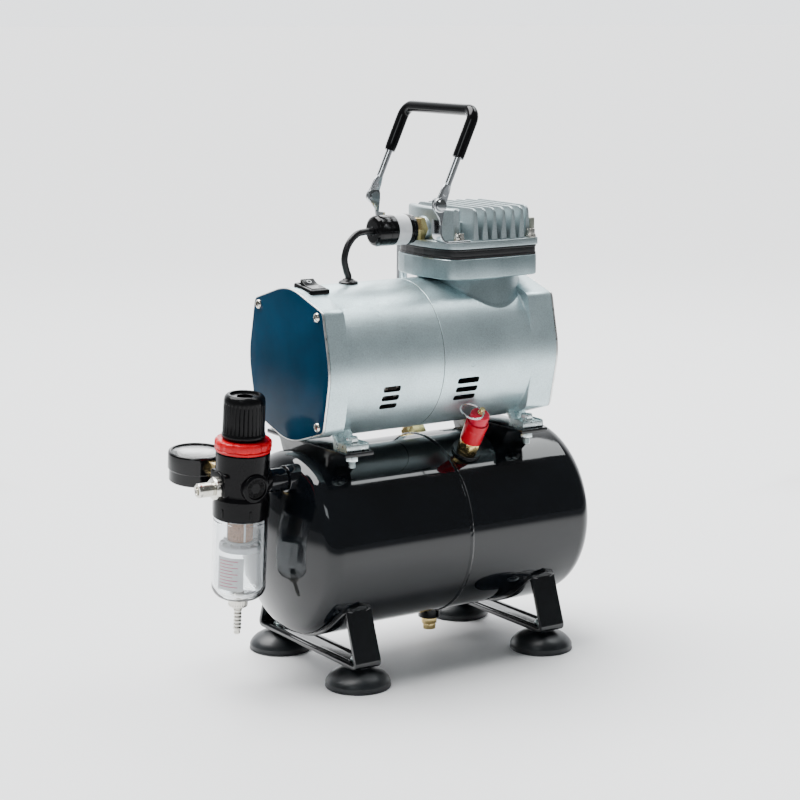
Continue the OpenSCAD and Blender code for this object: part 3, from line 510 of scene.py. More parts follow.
def zinc_plate(name, colour):
    """Zinc: bright, with pale crystalline patches and small scratches."""
    look = Look(name, metallic=1.0)
    look.colours(look.cells(420), [(0.1, shade(colour, 0.9)), (0.6, colour), (0.9, shade(colour, 1.08))])
    look.roughness(look.noise(300, 4), 0.22, 0.38)
    look.bump((look.noise(900, 3, (1, 6, 1)), 0.00001, 0.3))
    return look.material


def moulded(name, colour, rough=0.4, grain=0.3, coat=0.0, specular=0.5):
    """Moulded plastic: spark-eroded grain and slightly uneven gloss."""
    look = Look(name, coat_weight=coat, coat_roughness=0.06, specular_ior_level=specular)
    look.colours(look.noise(45, 4), [(0.3, shade(colour, 0.85)), (0.7, shade(colour, 1.15))])
    look.roughness(look.noise(160, 4), rough * 0.85, rough * 1.2)
    look.bump((look.noise(2600, 2), 0.00002, grain))
    return look.material


def rubber(name, colour):
    """Rubber: matt, faintly dusty, with a fine skin."""
    look = Look(name, sheen_weight=0.03, sheen_roughness=0.5)
    look.colours(look.noise(70, 6), [(0.35, colour), (0.75, shade(colour, 1.6))])
    look.roughness(look.noise(90, 5), 0.32, 0.5)
    look.bump((look.noise(1800, 3), 0.00004, 0.3))
    return look.material


def clear(name, tint, rough=0.02, ior=1.49):
    """Clear moulded plastic or glass, with faint flow waves."""
    look = Look(name, transmission_weight=1.0, ior=ior)
    look.colours(look.noise(40, 3), [(0.3, shade(tint, 0.97)), (0.7, tint)])
    look.roughness(look.noise(150, 4), rough, rough * 2.5)
    look.bump((look.noise(110, 2), 0.00006, 0.12))
    return look.material


def sintered(name, colour):
    """Sintered filter: packed grains with dark pores."""
    look = Look(name, specular_ior_level=0.2)
    look.colours(look.cells(1300), [(0.1, shade(colour, 1.25)), (0.55, colour), (0.9, shade(colour, 0.5))])
    look.roughness(look.noise(400, 3), 0.7, 0.95)
    look.bump((look.cells(1300), 0.0002, 0.7))
    return look.material


def printed(name, colour, rough=0.45):
    """Smooth card or printed enamel, with a hint of fibre."""
    look = Look(name)
    look.colours(look.noise(500, 4), [(0.3, shade(colour, 0.93)), (0.7, colour)])
    look.roughness(look.noise(200, 3), rough * 0.85, rough * 1.2)
    look.bump((look.noise(1600, 3), 0.00002, 0.2))
    return look.material


def laminated(name, colour):
    """Stacked electrical sheet: thin lines across the axis."""
    look = Look(name, metallic=0.8)
    look.colours(look.noise(80, 4), [(0.3, shade(colour, 0.6)), (0.7, colour)])
    look.roughness(look.noise(300, 3, (12, 1, 1)), 0.4, 0.7)
    look.bump((look.noise(900, 1, (4, 0.1, 0.1)), 0.0002, 0.6))
    return look.material


TANK = gloss_paint("tank_enamel", (0.003, 0.004, 0.0055), 0.06, 0.2, 0.12, 0.4)
LEG = gloss_paint("leg_enamel", (0.005, 0.006, 0.007), 0.13, 0.5)
BLUE = gloss_paint("end_plate_enamel", (0.002, 0.028, 0.060), 0.1, 0.12, 0.0, 0.06)
SILVER = cast_paint("silver_casting", (0.60, 0.745, 0.775))
# A darker copy of the silver lacquer for the neck and its flange: painted shade under the head.
SHADED_NECK = cast_paint("neck_casting_shaded", (0.34, 0.43, 0.45), 0.38)
HEAD = cast_paint("head_casting", (0.38, 0.45, 0.465), 0.42)
EDGE = bright_metal("worn_rim", (0.80, 0.80, 0.78), 0.3)
ZINC = zinc_plate("zinc_plate", (0.68, 0.77, 0.77))
NICKEL = bright_metal("nickel", (0.70, 0.68, 0.62), 0.17, (1, 1, 6), grain=0.1)
CHROME = bright_metal("chrome", (0.82, 0.84, 0.86), 0.07, grain=0.12)
STRAP = bright_metal("strap_chrome", (0.40, 0.42, 0.43), 0.12, grain=0.15)
BRASS = bright_metal("brass", (0.86, 0.66, 0.30), 0.2, (6, 1, 1), 0.88)
STEEL = bright_metal("turned_steel", (0.52, 0.53, 0.54), 0.3, (1, 8, 8))
ROD = cast_paint("rod_casting", (0.62, 0.63, 0.64), 0.4)
CORE = laminated("laminated_core", (0.30, 0.27, 0.25))
GLOSSY = moulded("gloss_black_plastic", (0.004, 0.004, 0.0045), 0.1, 0.05, 0.05, 0.25)
SATIN = moulded("satin_black_plastic", (0.005, 0.005, 0.0055), 0.2, 0.3, 0.0, 0.13)
BODY_BLACK = moulded("regulator_black", (0.003, 0.003, 0.0035), 0.16, 0.4, 0.0, 0.12)
GASKET = moulded("gasket_black", (0.008, 0.008, 0.009), 0.45, 0.3)
# Near-black painted shade for the walls of slots and sockets and for the housing's seam groove.
DARK = moulded("slot_shadow", (0.004, 0.004, 0.004), 0.8, 0.2)
RUBBER = rubber("foot_rubber", (0.006, 0.008, 0.010))
LEAD = moulded("lead_sheath", (0.010, 0.010, 0.011), 0.3, 0.15)
RED = moulded("red_sleeve", (0.56, 0.004, 0.018), 0.16, 0.1, 0.1, 0.3)
RED_RING = moulded("red_ring", (0.58, 0.002, 0.010), 0.2, 0.12, 0.0, 0.2)
PINK_RED = gloss_paint("red_anodised", (0.62, 0.012, 0.042), 0.2, 0.15, 0.1, 0.35)
WHITE = moulded("white_plastic", (0.80, 0.82, 0.84), 0.4, 0.1)
CARD = printed("scale_card", (0.95, 0.94, 0.94))
DIAL = printed("dial_enamel", (0.86, 0.87, 0.88))
MARK = printed("mark_white", (0.75, 0.77, 0.78))
PINK = printed("scale_lines", (0.80, 0.10, 0.22))
INK = printed("dial_ink", (0.02, 0.02, 0.022))
BOWL = clear("clear_bowl", (0.93, 0.955, 0.97), 0.02, 1.5)
LENS = clear("gauge_lens", (0.97, 0.98, 0.98), 0.01, 1.47)
FILTER = sintered("sintered_filter", (0.50, 0.30, 0.20))
OLIVE = cast_paint("aged_casting", (0.36, 0.37, 0.32), 0.45)

# ---------- camera, light and floor ----------


FOCAL_LENGTH = 93.76
SENSOR_WIDTH = 36
EYE = (-0.77105, -1.1719, 0.4457)
AIM = (0.00562, -0.01505, 0.18257)
ROLL = 0.168


def camera():
    """Stands where the reference view does: low, to the left of the front."""
    data = bpy.data.cameras.new("camera")
    data.lens = FOCAL_LENGTH
    data.sensor_width = SENSOR_WIDTH
    eye = add_object("camera", data)
    eye.location = EYE
    aim = Vector(AIM) - Vector(eye.location)
    level = aim.to_track_quat("-Z", "Y").to_matrix().to_4x4()
    eye.rotation_euler = (level @ turn(ROLL, "Z")).to_euler()
    bpy.context.scene.camera = eye


def area_light(name, place, target, size, power, colour=(1, 1, 1)):
    data = bpy.data.lights.new(name, "AREA")
    data.shape = "RECTANGLE"
    data.size, data.size_y = size
    data.energy = power
    data.color = colour
    lamp = add_object(name, data)
    lamp.location = place
    lamp.rotation_euler = (Vector(target) - Vector(place)).to_track_quat("-Z", "Y").to_euler()


# Level direction from the object to the backdrop
BEHIND = (0.557, 0.83, 0)


def floor_light_pool(look):
    """Painted pool of light on the floor: 1 near the object and behind it, down to 0 in the rest of the room.
    """
    def operate(kind, operation, *values):
        node = look.nodes.new(kind)
        node.operation = operation
        for socket, value in zip(node.inputs, values):
            if isinstance(value, (float, tuple)):
                socket.default_value = value
            else:
                look.link(value, socket)
        return node.outputs

    reach = operate("ShaderNodeVectorMath", "LENGTH", look.space)["Value"]
    along = operate("ShaderNodeVectorMath", "DOT_PRODUCT", look.space, BEHIND)["Value"]
    share = operate("ShaderNodeMath", "DIVIDE", along, reach)[0]
    near = map_range(look.nodes, look.links, reach, (0.55, 1.3, 1.0, 0.0), "SMOOTHSTEP")
    beyond = map_range(look.nodes, look.links, share, (0.68, 0.84, 0.0, 1.0), "SMOOTHSTEP")
    return operate("ShaderNodeMath", "MAXIMUM", near, beyond)[0]


def studio():
    """Pale floor with a painted pool of light round the object, a pale backdrop behind, a darker room in
    front, and soft boxes.
    """
    world = bpy.data.worlds.new("studio")
    bpy.context.scene.world = world
    world.use_nodes = True
    nodes, links = world.node_tree.nodes, world.node_tree.links
    sky = nodes["Background"]
    toward = nodes.new("ShaderNodeVectorMath")
    toward.operation = "DOT_PRODUCT"
    toward.inputs[1].default_value = BEHIND
    links.new(nodes.new("ShaderNodeTexCoord").outputs["Generated"], toward.inputs[0])
    strength = map_range(nodes, links, toward.outputs["Value"], (0.3, 0.9, 0.16, 2.35), "SMOOTHSTEP")
    links.new(strength, sky.inputs["Strength"])
    sky.inputs["Color"].default_value = (0.95, 0.975, 1.0, 1)
    centre = (0, 0, 0.19)
    sun = bpy.data.lights.new("wide_sun", "SUN")
    sun.energy = 7.0
    sun.angle = math.radians(50)
    lamp = add_object("wide_sun", sun)
    lamp.rotation_euler = Vector((-0.25, 0.35, 1.0)).to_track_quat("Z", "Y").to_euler()
    area_light("left_box", (-1.5, -1.2, 1.5), centre, (0.5, 0.5), 3.5, (0.9, 0.97, 1))
    area_light("top_box", (1.0, 0.1, 1.75), centre, (1.0, 0.7), 16, (0.95, 0.99, 1))
    area_light("rear_box", (0.9, 1.3, 1.2), centre, (0.9, 0.9), 8)
    mesh = bpy.data.meshes.new("floor")
    half = 40
    corners = [(x * half, y * half, 0) for x, y in ((-1, -1), (1, -1), (1, 1), (-1, 1))]
    mesh.from_pydata(corners, [], [(0, 1, 2, 3)])
    floor = add_object("floor", mesh)
    look = Look("floor")
    tones = [(0.0, (0.10, 0.105, 0.11)), (0.5, (0.42, 0.425, 0.43)), (1.0, (0.92, 0.925, 0.93))]
    # Floor colour from dark to pale, following the painted pool of light.
    look.colours(floor_light_pool(look), tones)
    look.roughness(look.noise(20, 2), 0.6, 0.7)
    mesh.materials.append(look.material)


# ---------- small hardware ----------


def hex_head(shape, flats, z0, z1, place):
    """Hexagon with a turned chamfer on its top."""
    shape.prism(polygon(6, flats, 0.3), z0, z1 - 0.12 * (z1 - z0), place, 0.12)
    r = flats / 2
    rim = z1 - 0.3 * (z1 - z0)
    chamfer = [(0, z0), (r * 0.9, z0), (r * 1.04, rim), (r * 0.97, z1 - 0.04), (r * 0.93, z1), (0, z1)]
    shape.lathe(chamfer, place, 0, 48)


def thread(shape, r, z0, z1, place, pitch, depth):
    """A turned thread, drawn as V grooves."""
    count = max(1, int((z1 - z0) / pitch))
    profile = [(0, z0), (r - depth, z0)]
    for i in range(count):
        z = z0 + (i + 0.25) * pitch
        profile += [(r - depth, z), (r, z + 0.35 * pitch), (r, z + 0.5 * pitch)]
    profile += [(r - depth, z1), (0, z1)]
    shape.lathe(profile, place, 0, 32)


# ---------- air tank ----------

SEAM_X = TANK_HIGH.x
SAFETY_AXIS = Vector(joint("safety_pull")["axis"])
SAFETY_ANGLE = math.degrees(math.atan2(-SAFETY_AXIS.y, SAFETY_AXIS.z))
SAFETY_X = centre_of("safety_sleeve").x
INLET_ANGLE = -40
TANK_X0 = TANK_LOW.x
TANK_X1 = box("tank_right")[1].x


def dome(reach):
    """Half outline of a tank half: cylinder, knuckle and crown, with its length along Z."""
    crown = 2 * TANK_R
    knuckle = 0.2 * TANK_R
    drop = math.sqrt((crown - knuckle) ** 2 - (TANK_R - knuckle) ** 2)
    lean = math.degrees(math.atan2(drop, TANK_R - knuckle))
    start = reach - (crown - drop)
    line = arc(TANK_R - knuckle, start, knuckle, 0, lean, 14)
    line += arc(0, reach - crown, crown, lean, 90, 26)[1:]
    line[-1] = (0, reach)
    return line


def on_tank(x, angle, height=0.0):
    """Place on the tank's surface, its Z pointing out of it."""
    return at(x, 0, TANK_Z) @ turn(angle, "X") @ at(0, 0, TANK_R + height)


def tank():
    for name, sign, reach in (("left", -1, SEAM_X - TANK_X0), ("right", 1, TANK_X1 - SEAM_X)):
        shape = Shape()
        way = MINUS_X if sign < 0 else ALONG_X
        start = 1.9 if sign < 0 else 0.0
        lip = [(TANK_R - 1.5, start), (TANK_R - 0.35, start + 0.1), (TANK_R, start + 0.6)]
        straight = [(TANK_R, z) for z in (8, 30, 60, 80) if z < reach - 25]
        shape.lathe(lip + straight + dome(reach), at(SEAM_X, 0, TANK_Z) @ way, 0, 160, caps=(False, False))
        if sign > 0:
            weld_bead(shape)
        shape.done(f"tank_{name}_shell", "frame", [TANK], [f"tank_{name}"], "tank_paint")
    shape = Shape()
    for node_angle, x in ((SAFETY_ANGLE, SAFETY_X), (INLET_ANGLE, SAFETY_X + 8)):
        lines = [(0, -3), (10.2, -3), (10.2, 0.6), (9.6, 1.0), (9.6, 1.35), (10.0, 1.6), (10.0, 2.2),
            (0, 2.2)]
        shape.lathe(soften(lines, 0.25), on_tank(x, node_angle), 0, 72)
    drain = on_tank(centre_of("tank_drain").x, 180)
    shape.lathe(soften([(0, -3), (8, -3), (8, 7.5, 0.8), (0, 7.5)], 0.5), drain, 0, 64)
    _, y, z = centre_of("inlet_nipple")
    place = at(box("inlet_nipple")[1].x, y, z) @ MINUS_X
    shape.lathe(soften([(0, -14), (11.5, -14, 3), (9.3, -7, 3), (9, 8, 0.8), (0, 8)], 0.5), place, 0, 72)
    shape.done("tank_bung_set", "frame", [TANK], ["tank_bungs"], "tank_paint")


def weld_bead(shape):
    """Rippled weld round the joint of the two halves."""
    steps = 420
    section = ((-1.7, -0.3), (-1.25, 0.35), (-0.6, 0.72), (0.2, 0.78), (0.9, 0.55), (1.6, 0.12), (2.1, -0.3))
    rings = []
    for half, rise in section:
        loop = []
        for i in range(steps):
            a = TAU * i / steps
            ripple = 0.10 * math.sin(a * 96 + half * 1.6) + 0.05 * math.sin(a * 31)
            r = TANK_R + rise + (ripple if rise > 0 else 0)
            loop.append((half - 0.9, r * math.cos(a), r * math.sin(a)))
        rings.append(shape.points(loop, at(SEAM_X, 0, TANK_Z)))
    shape.skin(rings, 0, (False, False))


# ---------- legs and feet ----------

FEET_LOW, FEET_HIGH = box("suction_feet")
LEG_LOW, LEG_HIGH = box("leg_frames")
FOOT_R = 22.1
FOOT_X = [FEET_LOW.x + FOOT_R, FEET_HIGH.x - FOOT_R]
FOOT_Y = [FEET_LOW.y + FOOT_R, FEET_HIGH.y - FOOT_R]
STRAP_W = 20.0
STRAP_T = 3.0
BAR_Z = LEG_LOW.z
LEG_Y = LEG_HIGH.y


def leg(x):
    """A bent strap with two ribs, welded to an arched plate under the tank."""
    shape = Shape()
    top_y, top_z = 50.2, 52.5
    t = STRAP_T
    side_y = LEG_Y - 2.1
    line = [(-top_y, top_z), (-side_y, BAR_Z + t / 2, 3.2), (side_y, BAR_Z + t / 2, 3.2), (top_y, top_z)]
    strap(shape, soften(line, 3.2, False, 8), STRAP_W, t, x)
    for side in (-1, 1):
        rib = at(x + side * 6.6, 0, BAR_Z + t + 0.1)
        shape.block((2.6, 2 * LEG_Y - 26, 1.5), (0, 0, 0), rib, 0.6, corner=1.2)
        for edge in (-1, 1):
            for k in range(4):
                bead = (x + side * (8.2 - 0.8 * k), edge * (top_y - 0.2 + 0.25 * k), top_z - 0.3 * k)
                blob(shape, bead, 2.1 - 0.18 * k)
    saddle(shape, x)
    return shape


def strap(shape, path, width, thick, x):
    """Flat bar with rounded edges along a path of (y, z), lying across X."""
    rings = []
    section = rectangle(thick, width, 0.7, 4)
    for i, (y, z) in enumerate(path):
        a, b = path[max(0, i - 1)], path[min(len(path) - 1, i + 1)]
        t = Vector((b[0] - a[0], b[1] - a[1])).normalized()
        rings.append(shape.points([(x + v, y - t.y * u, z + t.x * u) for u, v in section]))
    shape.skin(rings)


def blob(shape, centre, r):
    """A bead of weld."""
    shape.lathe([(0, -r)] + arc(0, 0, r, -60, 60, 4) + [(0, r)], at(*centre), 0, 14)


def saddle(shape, x):
    """Curved plate with arched outline between strap and tank."""
    reach, half, thick = 58.0, 16.0, 2.0
    rings = []
    steps = 48
    for i in range(steps + 1):
        share = -1 + 2 * i / steps
        a = math.radians(-90 + reach * share)
        w = half * max(0.0, 1 - abs(share) ** 5) ** 0.4 + 0.05
        section = [(-w, 0.0), (-w, thick * 0.6), (-w + 0.6, thick), (w - 0.6, thick), (w, thick * 0.6),
            (w, 0.0)]
        if w < 1.2:
            section = [(u * 0.3, v) for u, v in section]
        loop = []
        for u, v in section:
            r = TANK_R - 0.05 + v
            loop.append((x + u, r * math.cos(a), TANK_Z + r * math.sin(a)))
        rings.append(shape.points(loop))
    shape.skin(rings)


def legs():
    whole = leg(FOOT_X[0])
    second = leg(FOOT_X[1])
    mesh = bpy.data.meshes.new("second_leg")
    second.bm.to_mesh(mesh)
    whole.bm.from_mesh(mesh)
    bpy.data.meshes.remove(mesh)
    second.bm.free()
    whole.done("leg_strap_frames", "frame", [LEG], ["leg_frames"], "tank_paint")


def feet():
    shape = Shape()
    screws = Shape()
    cutters = Shape()
    angles = [math.radians(3.4 * k) for k in range(3, 19)]
    profile = [(2.5, 5), (12.3, 4.2), (17.5, 2.4), (20.6, 0.15), (21.4, 0), (22.0, 0.35), (22.1, 1.0),
        (21.8, 1.6)]
    profile += [(FOOT_R * math.cos(a), 1.7 + 12.4 * math.sin(a)) for a in angles]
    profile += [(9.4, 13.0, 1), (8.6, 13.6), (8.5, 14.3), (8.0, 14.45), (2.5, 14.45)]
    top = BAR_Z + STRAP_T
    screw = [(0, BAR_Z - 6), (2.4, BAR_Z - 6), (2.4, top), (5.2, top), (5.2, top + 0.9), (4.6, top + 1.1)]
    screw += [(4.45, top + 2.0), (3.6, top + 3.0), (2.2, top + 3.5), (0, top + 3.6)]
    for x in FOOT_X:
        for y in FOOT_Y:
            here = at(x, y, 0)
            shape.lathe(soften(profile, 0.3), here, 0, 96, caps=(False, False))
            screws.lathe(screw, here, 0, 40)
            for a in (0, 90):
                cutters.block((4.4, 0.95, 3.0), (0, 0, top + 3.6), here @ turn(a + 20, "Z"), 0.05)
    shape.done("suction_foot_set", "frame", [RUBBER], ["suction_feet"], "foot_rubber", 50)
    heads = screws.done("foot_screw_set", "frame", [ZINC], ["foot_screws"], "zinc_steel")
    carve(heads, cutters)


# ---------- motor mounts ----------

MOUNT_LOW, MOUNT_HIGH = box("motor_feet")
MOUNT_W = 17.5
MOUNT_X = [MOUNT_LOW.x + MOUNT_W / 2, MOUNT_HIGH.x - MOUNT_W / 2]
SADDLE_TOP = box("motor_saddles")[1].z
MOUNT_T = 4.4
BOLT_Y = 41.0


def mounts():
    saddles = Shape()
    plates = Shape()
    bolts = Shape()
    under = [(51, SADDLE_TOP - 3, 0.8), (34, SADDLE_TOP - 3, 3), (28, 143, 2), (20, TANK_Z + 58.5, 2)]
    outline = [(-y, z, r) for y, z, r in under] + [(0, TANK_Z + TANK_R - 0.6, 20)] + under[::-1]
    outline += [(51, SADDLE_TOP, 0.8), (-51, SADDLE_TOP, 0.8)]
    for x in MOUNT_X:
        saddles.prism(soften(outline, 1, True), -11, 11, across(x), 0.7)
        for side in (-1, 1):
            foot_plate(plates, x, side)
            mount_bolt(bolts, at(x, side * BOLT_Y, SADDLE_TOP))
    saddles.done("motor_saddle_pair", "frame", [LEG], ["motor_saddles"], "tank_paint")
    plates.done("motor_foot_plates", "frame", [ZINC], ["motor_feet"], "zinc_steel")
    bolts.done("mount_bolt_set", "frame", [ZINC], ["mount_bolts"], "zinc_steel")


def foot_plate(shape, x, side):
    """Galvanised plate: a flat foot, a bend, and a web that runs up under the housing."""
    low, top, half = SADDLE_TOP + 0.02, SADDLE_TOP + MOUNT_T, MOUNT_W / 2
    flat = [(side * y, z) for y, z in ((47.5, low), (33.0, low), (33.0, top), (47.5, top))][::side]
    shape.prism(soften(flat, 0.9, True), -half, half, across(x), 0.9)
    line = ((36.0, top - 1.2), (33.2, SADDLE_TOP + 1.4), (19.0, top + 10.5), (22.5, top + 12.5))
    web = [(side * y, z) for y, z in line][::-side]
    shape.prism(soften(web, 1, True), -half + 1.6, half - 1.6, across(x), 0.7)


def mount_bolt(shape, here):
    shape.disc(5.5, MOUNT_T, MOUNT_T + 0.9, here, 0.25)
    shape.lathe(soften([(0, MOUNT_T + 0.9), (4.6, MOUNT_T + 0.9), (4.3, MOUNT_T + 1.7), (0, MOUNT_T + 1.7)],
        0.25), here, 0, 48)
    hex_head(shape, 7.6, MOUNT_T + 1.7, MOUNT_T + 4.6, here)
    shape.disc(5.3, -4, -3.1, here, 0.2)
    hex_head(shape, 7.6, -7.4, -4, here)
    thread(shape, 2.5, -12, -7.3, here, 0.8, 0.35)


# ---------- motor housing ----------

PLATE_T = 2.0
X0 = box("end_plate_left")[0].x - motor.translation.x + PLATE_T
X1 = box("end_plate_right")[1].x - motor.translation.x - PLATE_T
SPLIT = box("housing_left")[1].x - motor.translation.x
HOUSING_R = 51.0
BORE_R = 48.0
LOBE_R = 5.6
LOBES = [(sy * 38.6, sz * 35.6) for sy in (-1, 1) for sz in (-1, 1)]
SAMPLES = 288


def lobed_radius(angle):
    """Distance from the motor's axis to the lobed outline, at an angle from +Y towards +Z."""
    u = Vector((math.cos(angle), math.sin(angle)))
    best = HOUSING_R
    for cy, cz in LOBES:
        centre = Vector((cy, cz))
        away = centre.length
        lean = math.acos((HOUSING_R - LOBE_R) / away)
        middle = math.atan2(cz, cy)
        gap = (angle - middle + math.pi) % TAU - math.pi
        if abs(gap) > lean:
            continue
        along = u.dot(centre)
        cross = LOBE_R ** 2 - (centre.length_squared - along ** 2)
        on_lobe = along + math.sqrt(cross) if cross > 0 else 0
        side = 1 if gap > 0 else -1
        normal = Vector((math.cos(middle + side * lean), math.sin(middle + side * lean)))
        on_flat = HOUSING_R / max(0.05, normal.dot(u))
        hit = (centre + normal * LOBE_R)
        point = u * on_flat
        beyond = (point - normal * HOUSING_R).length > (hit - normal * HOUSING_R).length
        best = max(best, on_lobe if beyond and on_lobe else on_flat)
    return best


OUTLINE_R = [lobed_radius(TAU * i / SAMPLES) for i in range(SAMPLES)]


def housing_ring(shape, x, lobed=1.0, shrink=0.0, bore=None):
    """One ring of the housing: round, lobed or between, at x."""
    loop = []
    for i in range(SAMPLES):
        a = TAU * i / SAMPLES
        r = bore if bore else HOUSING_R + (OUTLINE_R[i] - HOUSING_R) * lobed - shrink
        loop.append((x, r * math.cos(a), r * math.sin(a)))
    return shape.points(loop, motor)


def vents(x, length):
    """Three stacked slots in the lower front, as a cutter."""
    cutter = Shape()
    for a in (16, 23.5, 31):
        place = motor @ turn(a, "X") @ at(x, -HOUSING_R, 0) @ FRONT
        cutter.prism(rectangle(length, 4.2, 1.75, 6), -8, 8, place, 0)
    return cutter


def cylinder_bore():
    """Cutter for the way through the housing and its neck that the cylinder and the piston need."""
    low, high = box("cylinder_liner")
    r = (high.y - low.y) / 2 + 0.05
    cutter = Shape()
    cutter.disc(r, MOTOR_Z + 8, high.z + 5, at(centre_of("cylinder_liner").x, 0, 0), 0, 0, 96)
    return cutter


def housing_half(name, rows, slots):
    """Half of the housing from rows of (x, lobed, shrink, bore), with its vents cut. The vents' walls take
    the near-black painted shade.
    """
    shape = Shape()
    rings = [housing_ring(shape, *row) for row in rows]
    shape.skin(rings + [rings[0]], 0, (False, False))
    looks, nodes = [SILVER, DARK], [f"housing_{name}"]
    shell = shape.done(f"housing_{name}_shell", "frame", looks, nodes, "silver_casting", 28, weld=False)
    carve(shell, vents(*slots), 28, DARK)
    return shell


def housing():
    lobe = X0 + 15.0
    housing_half("left", [
        (X0, 1, 0.45), (X0 + 0.15, 1, 0.13), (X0 + 0.5,), (lobe - 0.9,), (lobe - 0.35, 0.97), (lobe, 0.8),
        (lobe + 0.3, 0.14), (lobe + 1.3, 0), (-60, 0), (-30, 0), (SPLIT - 0.45, 0), (SPLIT - 0.12, 0, 0.3),
        (SPLIT - 0.1, 0, 1.2), (SPLIT - 0.1, 0, 0, BORE_R), (-60, 0, 0, BORE_R), (X0, 0, 0, BORE_R),
    ], (-48.9, 13.5))
    lobe = X1 - 20.0
    shell = housing_half("right", [
        (SPLIT + 0.02, 0, 0, BORE_R), (SPLIT + 0.02, 0, 1.2), (SPLIT + 0.04, 0, 0.3), (SPLIT + 0.4, 0),
        (20, 0),
        (45, 0), (lobe - 1.3, 0), (lobe - 0.3, 0.14), (lobe, 0.8), (lobe + 0.35, 0.97), (lobe + 0.9,),
        (X1 - 0.5,), (X1 - 0.15, 1, 0.13), (X1, 1, 0.45), (X1, 0, 0, BORE_R),
    ], (12.9, 17.6))
    carve(shell, cylinder_bore(), 28)
    carve(neck(), cylinder_bore(), 28)
    for name, x in (("left", X0 - PLATE_T), ("right", X1)):
        end_plate(name, x)
    end_screws()
    seam_and_marks()


def seam_and_marks():
    """Near-black line of painted shade in the groove where the halves meet, and the round ejector marks on
    the right half.
    """
    shape = Shape()
    line = [(48.5, -0.4), (50.82, -0.4), (50.82, 0.4), (48.5, 0.4)]
    shape.lathe_loop(line, motor @ at(SPLIT, 0, 0) @ ALONG_X, 0, SAMPLES)
    for x, a in ((15, 3), (57, 2), (40, 58)):
        place = motor @ turn(a, "X") @ at(x, -HOUSING_R, 0) @ FRONT
        shape.lathe_loop([(2.0, -0.3), (2.05, 0.04), (2.25, 0.12), (2.5, 0.12), (2.7, 0.0), (2.7, -0.3)],
            place, 1, 40)
    shape.done("housing_seam_marks", "frame", [DARK, SILVER], (), "silver_casting")


def end_plate(name, x):
    """Enamelled sheet with a bright rolled rim."""
    shape = Shape()
    place = motor @ across(x)
    flat = polar(lobed_radius, SAMPLES)
    shape.prism(inset(flat, 0.15), 0.25, PLATE_T - 0.25, place, 0.2, 1)
    shape.prism(inset(flat, 0.7), 0, PLATE_T, place, 0.35)
    shape.done(f"end_plate_{name}_sheet", "frame", [BLUE, EDGE], [f"end_plate_{name}"], "blue_plate")


def end_screws():
    shape = Shape()
    cutters = Shape()
    for x, way in ((X0 - PLATE_T, MINUS_X), (X1 + PLATE_T, ALONG_X)):
        for sy in (-1, 1):
            for sz in (-1, 1):
                here = motor @ at(x, sy * 37.4, sz * 36.2) @ way
                profile = [(0, -0.4), (3.2, -0.4), (3.25, 0.3), (3.0, 1.0), (2.3, 1.6), (1.2, 1.95), (0, 2.0)]
                shape.lathe(profile, here, 0, 40)
                for a in (45, 135):
                    cutters.block((4.0, 0.85, 2.4), (0, 0, 1.9), here @ turn(a, "Z"), 0.05)
    screws = shape.done("end_plate_screw_set", "frame", [NICKEL], ["end_plate_screws"], "nickel_steel")
    carve(screws, cutters)


# ---------- cylinder and head ----------

DECK = box("valve_plate")[0].z
PLATE_TOP = box("valve_plate")[1].z
HEAD_HIGH = box("cylinder_head")[1]
HEAD_L = 68.6
HEAD_W = 73.4
HEAD_X = HEAD_HIGH.x - HEAD_L / 2
NOSE = 5.6
FLANGE_Z = DECK - 14
COVER_Z = PLATE_TOP + 5
FIN_TOP = HEAD_HIGH.z
BOLT_X = 29.9
BOLT_HEAD_Y = 32.5


def bowed(shrink=0.0, corner=6.0, bow=1.3):
    """The head's outline: gently bulging sides, and a left end that bulges by NOSE more."""
    x0, x1, y = -HEAD_L / 2 - 2.6 + shrink, HEAD_L / 2 + 3.4 - shrink, HEAD_W / 2 - shrink
    middle = (x0 + x1) / 2
    line = [(x1 - bow, -y + bow, corner), (x1 - 0.25 * bow, -y / 2, 12), (x1, 0, 30)]
    line += [(x1 - 0.25 * bow, y / 2, 12), (x1 - bow, y - bow, corner), (middle, y, 30)]
    for share in (1, 0.5, 0.17, -0.17, -0.5, -1):
        line.append((x0 - NOSE * (1 - share ** 2), share * (y - bow), corner + 8))
    line += [(middle, -y, 30)]
    return soften(line, corner, True, 6)


def neck():
    """Tapered cylinder foot, filleted into the housing, with its flange on top."""
    shape = Shape()
    steps, fillet = 144, 2.4
    high = FLANGE_Z - MOTOR_Z + 0.5
    low, low_r, top_r = 28.0, 40.0, 34.0

    def taper(z):
        return low_r + (top_r - low_r) * (z - low) / (high - low)

    rings = []
    for k in range(10):
        loop = []
        for i in range(steps):
            a = TAU * i / steps
            z = 45.0
            for _ in range(8):
                z = math.sqrt(HOUSING_R ** 2 - (taper(z) * math.sin(a)) ** 2)
            r = taper(z)
            out = r + fillet
            p0 = Vector((r - 0.3, min(high - 0.2, z + fillet)))
            p1 = Vector((r, z))
            p2 = Vector((out, math.sqrt(HOUSING_R ** 2 - (out * math.sin(a)) ** 2) - 0.12))
            t = k / 9
            q = p0 * (1 - t) ** 2 + p1 * 2 * t * (1 - t) + p2 * t * t
            loop.append((HEAD_X + q.x * math.cos(a), q.x * math.sin(a), q.y + MOTOR_Z))
        rings.append(shape.points(loop))
    here = at(HEAD_X, 0, MOTOR_Z)
    crown = shape.layer(ring(top_r, steps), 0, high, here)
    root = shape.layer(ring(low_r - 1, steps), 0, low + 4, here)
    shape.skin([crown] + rings + [root])
    shape.prism(bowed(0, 7, 1.8), FLANGE_Z, DECK, at(HEAD_X, 0, 0), 0.9, 0, 1.6)
    # The neck and its flange take the darker silver, painted shade under the head.
    return shape.done("cylinder_neck_flange", "frame", [SHADED_NECK], (), "silver_casting", 28)


